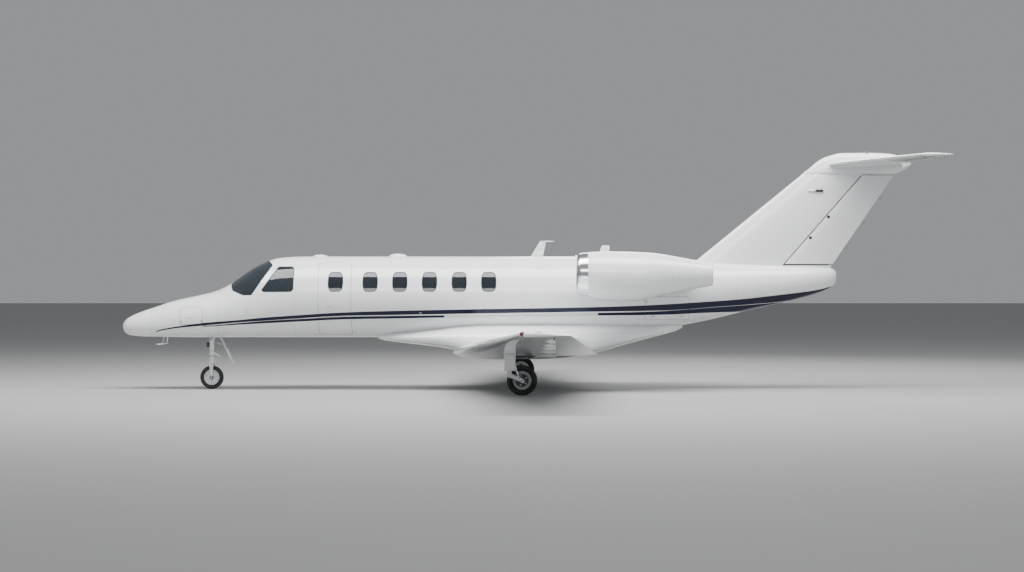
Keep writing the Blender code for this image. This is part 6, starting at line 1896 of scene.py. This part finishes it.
def main_gear(side, hand):
    """Main leg with its trunnion, side stay, shock absorber, trailing link, brake and door."""
    px, pz = x_of(MAIN_PIVOT[0]), MAIN_PIVOT[1]
    y = side * MAIN_LEG_Y
    axle = np.array((x_of(MAIN_WHEEL_STATION), side * MAIN_WHEEL_Y, MAIN_TYRE[0]))
    roof = wing_row(MAIN_LEG_Y)[2] - 0.045
    shape = Shape()
    leg = [(0.001, roof - 0.001), (0.046, roof - 0.001), (0.048, roof - 0.04), *MAIN_LEG_FOOT]
    shape.turned(leg, (px, y, 0), 40, 2, 0)
    shape.tube([(px + u, y, roof - 0.045) for u in (-0.105, -0.05, 0.06, 0.125)], 0.034, 24, 0)
    for cheek, _ in SIDES:
        shape.turned([(r, cheek * a) for r, a in PIVOT_CHEEK], (px, y, pz), 32, 1, 0)
        outline = [(px - 0.046, pz), (px + 0.046, pz), (px + 0.040, 0.47), (px - 0.040, 0.47)]
        low, high = sorted((y + cheek * 0.0245, y + cheek * 0.042))
        shape.plate(outline, 1, low, high, 0)
    for route, radius, sides, mark in ((SIDE_STAY, 0.018, 14, 0), (MAIN_HOSE, 0.005, 10, 3)):
        shape.tube([(px + u, y + side * off, z) for u, off, z in route], radius, sides, mark)
    top, foot = np.array((px + 0.052, y, 0.655)), np.array((axle[0] - 0.055, y, axle[2] + 0.052))
    run = foot - top
    shape.tube([top, top + run * 0.25, top + run * 0.55], 0.027, 24, 0)
    shape.tube([top + run * 0.53, top + run * 0.75, top + run * 0.98], 0.016, 20, 1)
    shape.drum(0.024, -0.034, 0.034, top, 20, 1, 2)
    piece(f"main_leg_skin_{hand}", shape, [GEAR_WHITE, CHROME, BARE, BLACK_PLASTIC_AND_SHADE], slot="gear_metal",
          replaces=(f"main_leg_{hand}",))

    shape = Shape()
    c, s = superellipse((0, 0), (1, 1), (2 / 0.5, 2 / 0.7), 24).T
    rows = [np.column_stack([np.full(24, px + (axle[0] - px) * t), y + half_y * c,
                             pz + (axle[2] - pz) * t + half_z * s]) for t, half_z, half_y in LINK_ROWS]
    shape.grid(rows, 0)
    shape.drum(0.046, -0.022, 0.022, (px, y, pz), 32, 1, 0)
    end = MAIN_WHEEL_Y - MAIN_TYRE[1] * 0.9
    shape.tube([(axle[0], side * (MAIN_LEG_Y + 0.030), axle[2]), (axle[0], side * 2.5, axle[2]),
                (axle[0], side * end, axle[2])], 0.0295, 32, 2)
    brake_y = MAIN_LEG_Y - 0.024
    shape.turned([(r, -side * a) for r, a in BRAKE], (axle[0], side * brake_y, axle[2]), 48, 1, 4)
    for a in np.linspace(0.6, 0.6 + 2 * math.pi, 5, endpoint=False):
        spot = (axle[0] + 0.085 * math.cos(a), side * (brake_y + 0.004), axle[2] + 0.085 * math.sin(a))
        shape.turned([(r, side * a) for r, a in BRAKE_CUP], spot, 20, 1, 2)
    shape.tube([(axle[0] + 0.055, y + side * 0.010, axle[2] + 0.045),
                (axle[0] - 0.03, y + side * 0.028, axle[2] + 0.075),
                (px + 0.07, y + side * 0.028, pz + 0.045)], 0.0045, 10, 3)
    piece(f"main_link_skin_{hand}", shape, [GEAR_WHITE, CHROME, BARE, BLACK_PLASTIC_AND_SHADE, DARK_METAL],
          slot="gear_metal", replaces=(f"main_link_{hand}",))
    wheel(f"main_{hand}", MAIN_TYRE, axle, f"main_wheel_{hand}", side * -1, (-0.55, -0.2, 0.2, 0.55), 8)

    rows = []
    door_y = MAIN_LEG_Y + 0.050
    for t in np.linspace(0, 1, 9):
        z = 0.46 + 0.34 * t
        front, rear = px - 0.10 + 0.012 * (1 - t), px + 0.12 - 0.012 * (1 - t)
        along = np.linspace(front, rear, 9)
        bow = 0.0055 * (1 - np.linspace(-1, 1, 9) ** 2)
        skin = [(x, side * (door_y + 0.012 + b), z) for x, b in zip(along, bow)]
        rows.append(skin + [(x, side * (door_y + 0.006), z) for x in along[::-1]])
    shape = Shape().grid(rows)
    for z in (0.52, 0.73):
        shape.tube([(px + 0.01, side * (door_y + off), z) for off in (-0.006, 0.008)], 0.012, 14, 1)
    piece(f"main_gear_door_skin_{hand}", shape, [PLAIN, BARE], replaces=(f"main_gear_door_{hand}",))


def roof_fittings():
    """Blade antennas on the roof, with their foot plates and the front one's cap bar."""
    for name, (front_foot, front_top, rear_top, rear_foot) in ANTENNAS:
        rows = []
        for t in (0.0, 0.06, 0.3, 0.6, 0.85, 0.95, 1.0):
            front = front_foot[0] + (front_top[0] - front_foot[0]) * t
            rear = rear_foot[0] + (rear_top[0] - rear_foot[0]) * t
            z = front_foot[1] + (front_top[1] - front_foot[1]) * t
            shrink = 1.0 if t < 0.9 else 0.94 - (t - 0.95) * 3
            u = (1 - np.cos(np.linspace(0, math.pi, 15))) / 2
            top, low = airfoil(0.085, 0.0, u)
            mid, chord = (front + rear) / 2, (rear - front) * shrink
            us, vs = np.concatenate([u[::-1], u[1:]]), np.concatenate([top[::-1], low[1:]])
            rows.append(np.column_stack([x_of(mid + (us - 0.5) * chord), vs * chord * (1 - 0.35 * t),
                                         np.full(len(us), z)]))
        shape = Shape().grid(rows)
        foot = superellipse((x_of((front_foot[0] + rear_foot[0]) / 2), 0.0),
                            ((rear_foot[0] - front_foot[0]) / 2 + 0.012, 0.022), 2.6, 32)
        shape.plate(foot, 2, front_foot[1] - 0.014, front_foot[1] + 0.003, 1)
        if name == "antenna_front":
            front, rear, z = CAP_BAR
            radii = 0.0078 * np.sin(np.linspace(0.35, math.pi - 0.2, 9)) ** 0.5
            shape.tube([(x, 0, z) for x in np.linspace(x_of(front), x_of(rear), 9)], radii, 14, 0)
        piece(f"{name}_skin", shape, [PLAIN, GREY_PLASTIC], replaces=(name,))


def nose_fittings():
    """Pitot tubes under the nose and static ports on its sides."""
    shape = Shape()
    for side, _ in SIDES:
        base = on_skin(on_side([PITOT], side), 0.0)[0]
        foot = base + (-0.030, side * 0.012, -0.165)
        mast = [base + (0.0, side * -0.01, 0.01), base + (-0.008, side * 0.006, -0.060),
                foot + (0.006, 0, 0.03), foot]
        head = [foot + (u, 0, 0) for u in (0.030, -0.05, -0.110, -0.130)]
        shape.tube(mast, (0.015, 0.012, 0.010, 0.010), 16, 0)
        shape.tube(head, (0.008, 0.011, 0.009, 0.006), 16, 0)
        for place in on_side(STATIC_PORTS, side):
            round_patch(shape, place, 0.012, 20, PROUD, 0)
    piece("nose_probes", shape, [POLISHED])


def soft_block(low, high):
    """A padded block: rounded-square rings that close in towards its top and underside."""
    low, high = np.array(low, float), np.array(high, float)
    middle, half = (low + high) / 2, (high - low) / 2
    rows = []
    for t in np.linspace(-1, 1, PAD_RINGS):
        ring = (1 - t * t) ** (PAD_POWER / 2) if abs(t) < 0.999 else PAD_END
        z = middle[2] + half[2] * math.copysign(abs(math.sin(t * math.pi / 2)) ** 0.8, t)
        rows.append(level_ring(middle[:2], half[:2] * ring, 2 / PAD_POWER, 48, z))
    return rows


def puffed(name, pads, cap):
    """Pads blown up by a short cloth simulation: gravity off, inner pressure on, growth capped."""
    shape = Shape()
    for low, high in pads:
        shape.grid(soft_block(low, high))
    mesh = bpy.data.meshes.new(name)
    mesh.from_pydata(shape.points, [], shape.faces)
    made = bpy.data.objects.new(name, mesh)
    bpy.context.scene.collection.objects.link(made)
    remesh = made.modifiers.new("remesh", "REMESH")
    remesh.mode = "VOXEL"
    remesh.voxel_size = PAD_VOXEL
    evaluated(made)
    before = points_of(made)
    cloth = made.modifiers.new("cloth", "CLOTH")
    cloth.settings.use_pressure = True
    cloth.settings.uniform_pressure_force = 4.0
    cloth.settings.effector_weights.gravity = 0.0
    cloth.settings.tension_stiffness = 12.0
    cloth.settings.bending_stiffness = 1.5
    cloth.point_cache.frame_start = 1
    cloth.point_cache.frame_end = SIM_FRAMES
    for step in range(1, SIM_FRAMES + 1):
        bpy.context.scene.frame_set(step)
    evaluated(made)
    bpy.context.scene.frame_set(1)
    after = points_of(made)
    moved = after - before
    length = np.linalg.norm(moved, axis=1, keepdims=True)
    after = before + moved * np.minimum(1.0, cap / np.maximum(length, 1e-9))
    made.data.vertices.foreach_set("co", after.astype(np.float32).ravel())
    return mesh_of(made)


def evaluated(made):
    """Keep the result of an object's modifiers as its mesh."""
    bpy.context.view_layer.update()
    graph = bpy.context.evaluated_depsgraph_get()
    mesh = bpy.data.meshes.new_from_object(made.evaluated_get(graph))
    made.modifiers.clear()
    made.data = mesh


def points_of(made):
    """An object's points as an array."""
    points = np.zeros(len(made.data.vertices) * 3, np.float32)
    made.data.vertices.foreach_get("co", points)
    return points.reshape(-1, 3).astype(float)


def mesh_of(made):
    """Points and faces of an object, which is then removed."""
    points = points_of(made)
    faces = [tuple(p.vertices) for p in made.data.polygons]
    bpy.data.objects.remove(made, do_unlink=True)
    return points, faces


def seat_into(soft, hard, cushion, station, y, facing):
    """Place one seat: its cushions in one shape, its shell, arms and pedestal in another."""
    side = 1 if y > 0 else -1
    x = x_of(station)

    def placed(points):
        return np.column_stack([x + facing * points[:, 0], y + side * points[:, 1], points[:, 2]])

    points, faces = cushion
    soft.add(placed(points), faces, 0)
    for u0, u1, v0, v1, w0, w1, mark in SEAT_BLOCKS:
        xs, ys = sorted((x + facing * u0, x + facing * u1)), sorted((y + side * v0, y + side * v1))
        hard.block((xs[0], ys[0], w0), (xs[1], ys[1], w1), mark, 0.006)
    for v in (-0.07, 0.03):
        left, right = (y + side * v + half for half in (-0.022, 0.022))
        hard.grid([upright_section(x + facing * u, left, right, z, z + 0.003) for u, z in SEAT_BELT], 3)


def interior():
    """Seats with soft cushions, carpet, instrument panel with screens and control wheels, and the divider."""
    cushion = puffed("cushion", SEAT_PADS, PAD_SWELL)
    finishes = [GREY_PLASTIC, WOOD, BLACK_PLASTIC_AND_SHADE, DARK_RUBBER_AND_SHADE]
    for side, hand in SIDES:
        for name, places, y, rail, node in SEAT_ROWS:
            soft, hard = Shape(), Shape()
            for station, facing in places:
                seat_into(soft, hard, cushion, station, side * y, facing)
            start, end, rail_y = rail
            for offset in (-0.025, 0.025):
                hard.block((x_of(start), side * rail_y + offset - 0.006, FLOOR_TOP + 0.002),
                           (x_of(end), side * rail_y + offset + 0.006, FLOOR_TOP + 0.014), 0, 0.002)
            made = piece(f"{name}_cushions_{hand}", soft, [CREAM], slot="seat_leather",
                         replaces=(f"{node}_{hand}",), angle=80)
            smooth = made.modifiers.new("soft", "SUBSURF")
            smooth.levels = smooth.render_levels = 1
            piece(f"{name}_frames_{hand}", hard, finishes, slot="cabinet_wood")
    low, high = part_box("cabin_floor")
    shape = Shape()
    rows = []
    for s in np.linspace(NOSE_END + 0.06, 8.89, 40):
        foot, top = (half_width(s, z, CABIN_WALL + 0.003) for z in (low.z, high.z))
        corners = ((-foot, low.z), (foot, low.z), (top, high.z), (-top, high.z))
        rows.append([(x_of(s), y, z) for y, z in corners])
    shape.grid(rows, 0)
    piece("cabin_carpet", shape, [CARPET], slot="floor_structure", replaces=("cabin_floor",))

    shape = Shape()
    rows = []
    for s, top in PANEL_ROWS:
        foot = 1.66 if s < 2.2 else 1.56
        rows.append([(x_of(s), PANEL_HALF * y, z)
                     for y, z in ((-1, foot), (1, foot), (0.93, top), (-0.93, top))])
    shape.grid(rows, 0)
    for y0, y1 in SCREENS:
        shape.block((x_of(2.4735), y0, 1.64), (x_of(2.482), y1, 1.80), 1, 0.002)
        shape.block((x_of(2.481), y0 + 0.012, 1.652), (x_of(2.4835), y1 - 0.012, 1.788), 2, 0.001)
    for y, z in KNOBS:
        shape.drum(0.017, 0.0, 0.010, (x_of(2.474), y, z), 24, 0, 1)
    shape.block((x_of(2.42), -0.115, FLOOR_TOP + 0.002), (x_of(2.74), 0.115, 1.585), 0, 0.01)
    for y in (-0.04, 0.04):
        lever = ((2.58, 1.58), (2.57, 1.64), (2.565, 1.68))
        shape.tube([(x_of(s), y, z) for s, z in lever], (0.006, 0.006, 0.014), 12, 1)
    for side, _ in SIDES:
        y = side * 0.33
        shape.tube([(x_of(s), y, 1.66) for s in (2.48, 2.55, 2.61)], 0.014, 16, 1)
        shape.tube([(x_of(2.615), y + v, z) for v, z in WHEEL_GRIP], GRIP_RADII, 14, 1)
    piece("cockpit_panel", shape, [GREY_PLASTIC, BLACK_PLASTIC_AND_SHADE, SCREEN], slot="panel_metal",
          replaces=("instrument_panel",))

    shape = Shape()
    inner = CABIN_RADIUS - CABIN_WALL - 0.004
    foot = FLOOR_TOP + 0.002
    front, rear = (x_of(s) for s in DIVIDER)
    for side, _ in SIDES:
        angles = np.linspace(math.acos(0.25 / inner), -math.asin((CABIN_AXIS_Z - foot) / inner), 24)
        arc = [(side * inner * math.cos(a), CABIN_AXIS_Z + inner * math.sin(a)) for a in angles]
        shape.plate([*arc, (side * 0.245, foot)], 0, front, rear, 0)
        post = side * 0.255
        shape.block((front - 0.006, post - 0.012, foot), (rear + 0.006, post + 0.012, 2.29), 1, 0.003)
    piece("divider_panels", shape, [WOOD, BARE], slot="cabinet_wood", replaces=("cabin_divider",))


def stage():
    """Pale floor and soft studio lights, and the camera at the photo's viewing angle."""
    mesh = bpy.data.meshes.new("floor")
    corners = [(x * FLOOR_REACH, y * FLOOR_REACH, 0) for x, y in ((-1, -1), (1, -1), (1, 1), (-1, 1))]
    mesh.from_pydata(corners, [], [(0, 1, 2, 3)])
    floor = bpy.data.objects.new("floor", mesh)
    finish = Finish("floor_paint", (0.34, 0.34, 0.34), 0.85)
    finish.drive(base_color=finish.mix(finish.noise(0.6, 3.0) * 0.2, (0.35, 0.35, 0.35), (0.31, 0.31, 0.31)))
    mesh.materials.append(finish.material)
    bpy.context.scene.collection.objects.link(floor)

    world = bpy.data.worlds.new("studio")
    world.use_nodes = True
    sky = world.node_tree.nodes["Background"]
    sky.inputs["Color"].default_value = SKY_COLOUR
    sky.inputs["Strength"].default_value = SKY_STRENGTH
    bpy.context.scene.world = world

    for name, place, size, power in LIGHTS:
        light = bpy.data.lights.new(name, "AREA")
        light.shape = "RECTANGLE"
        light.size, light.size_y = size
        light.energy = power
        lamp = bpy.data.objects.new(name, light)
        lamp.location = place
        lamp.rotation_euler = (Vector(LIGHT_AIM) - Vector(place)).to_track_quat("-Z", "Y").to_euler()
        bpy.context.scene.collection.objects.link(lamp)

    camera = bpy.data.cameras.new("camera")
    camera.sensor_width = 36.0
    camera.lens = CAMERA_LENS
    camera.clip_end = 300.0
    view = bpy.data.objects.new("camera", camera)
    view.location = CAMERA_PLACE
    view.rotation_euler = (math.pi / 2, 0, 0)
    bpy.context.scene.collection.objects.link(view)
    bpy.context.scene.camera = view


fuselage()
doors()
glazing()
wings()
tail()
engines()
nose_gear()
for wing_side, wing_hand in SIDES:
    main_gear(wing_side, wing_hand)
roof_fittings()
nose_fittings()
interior()
stage()
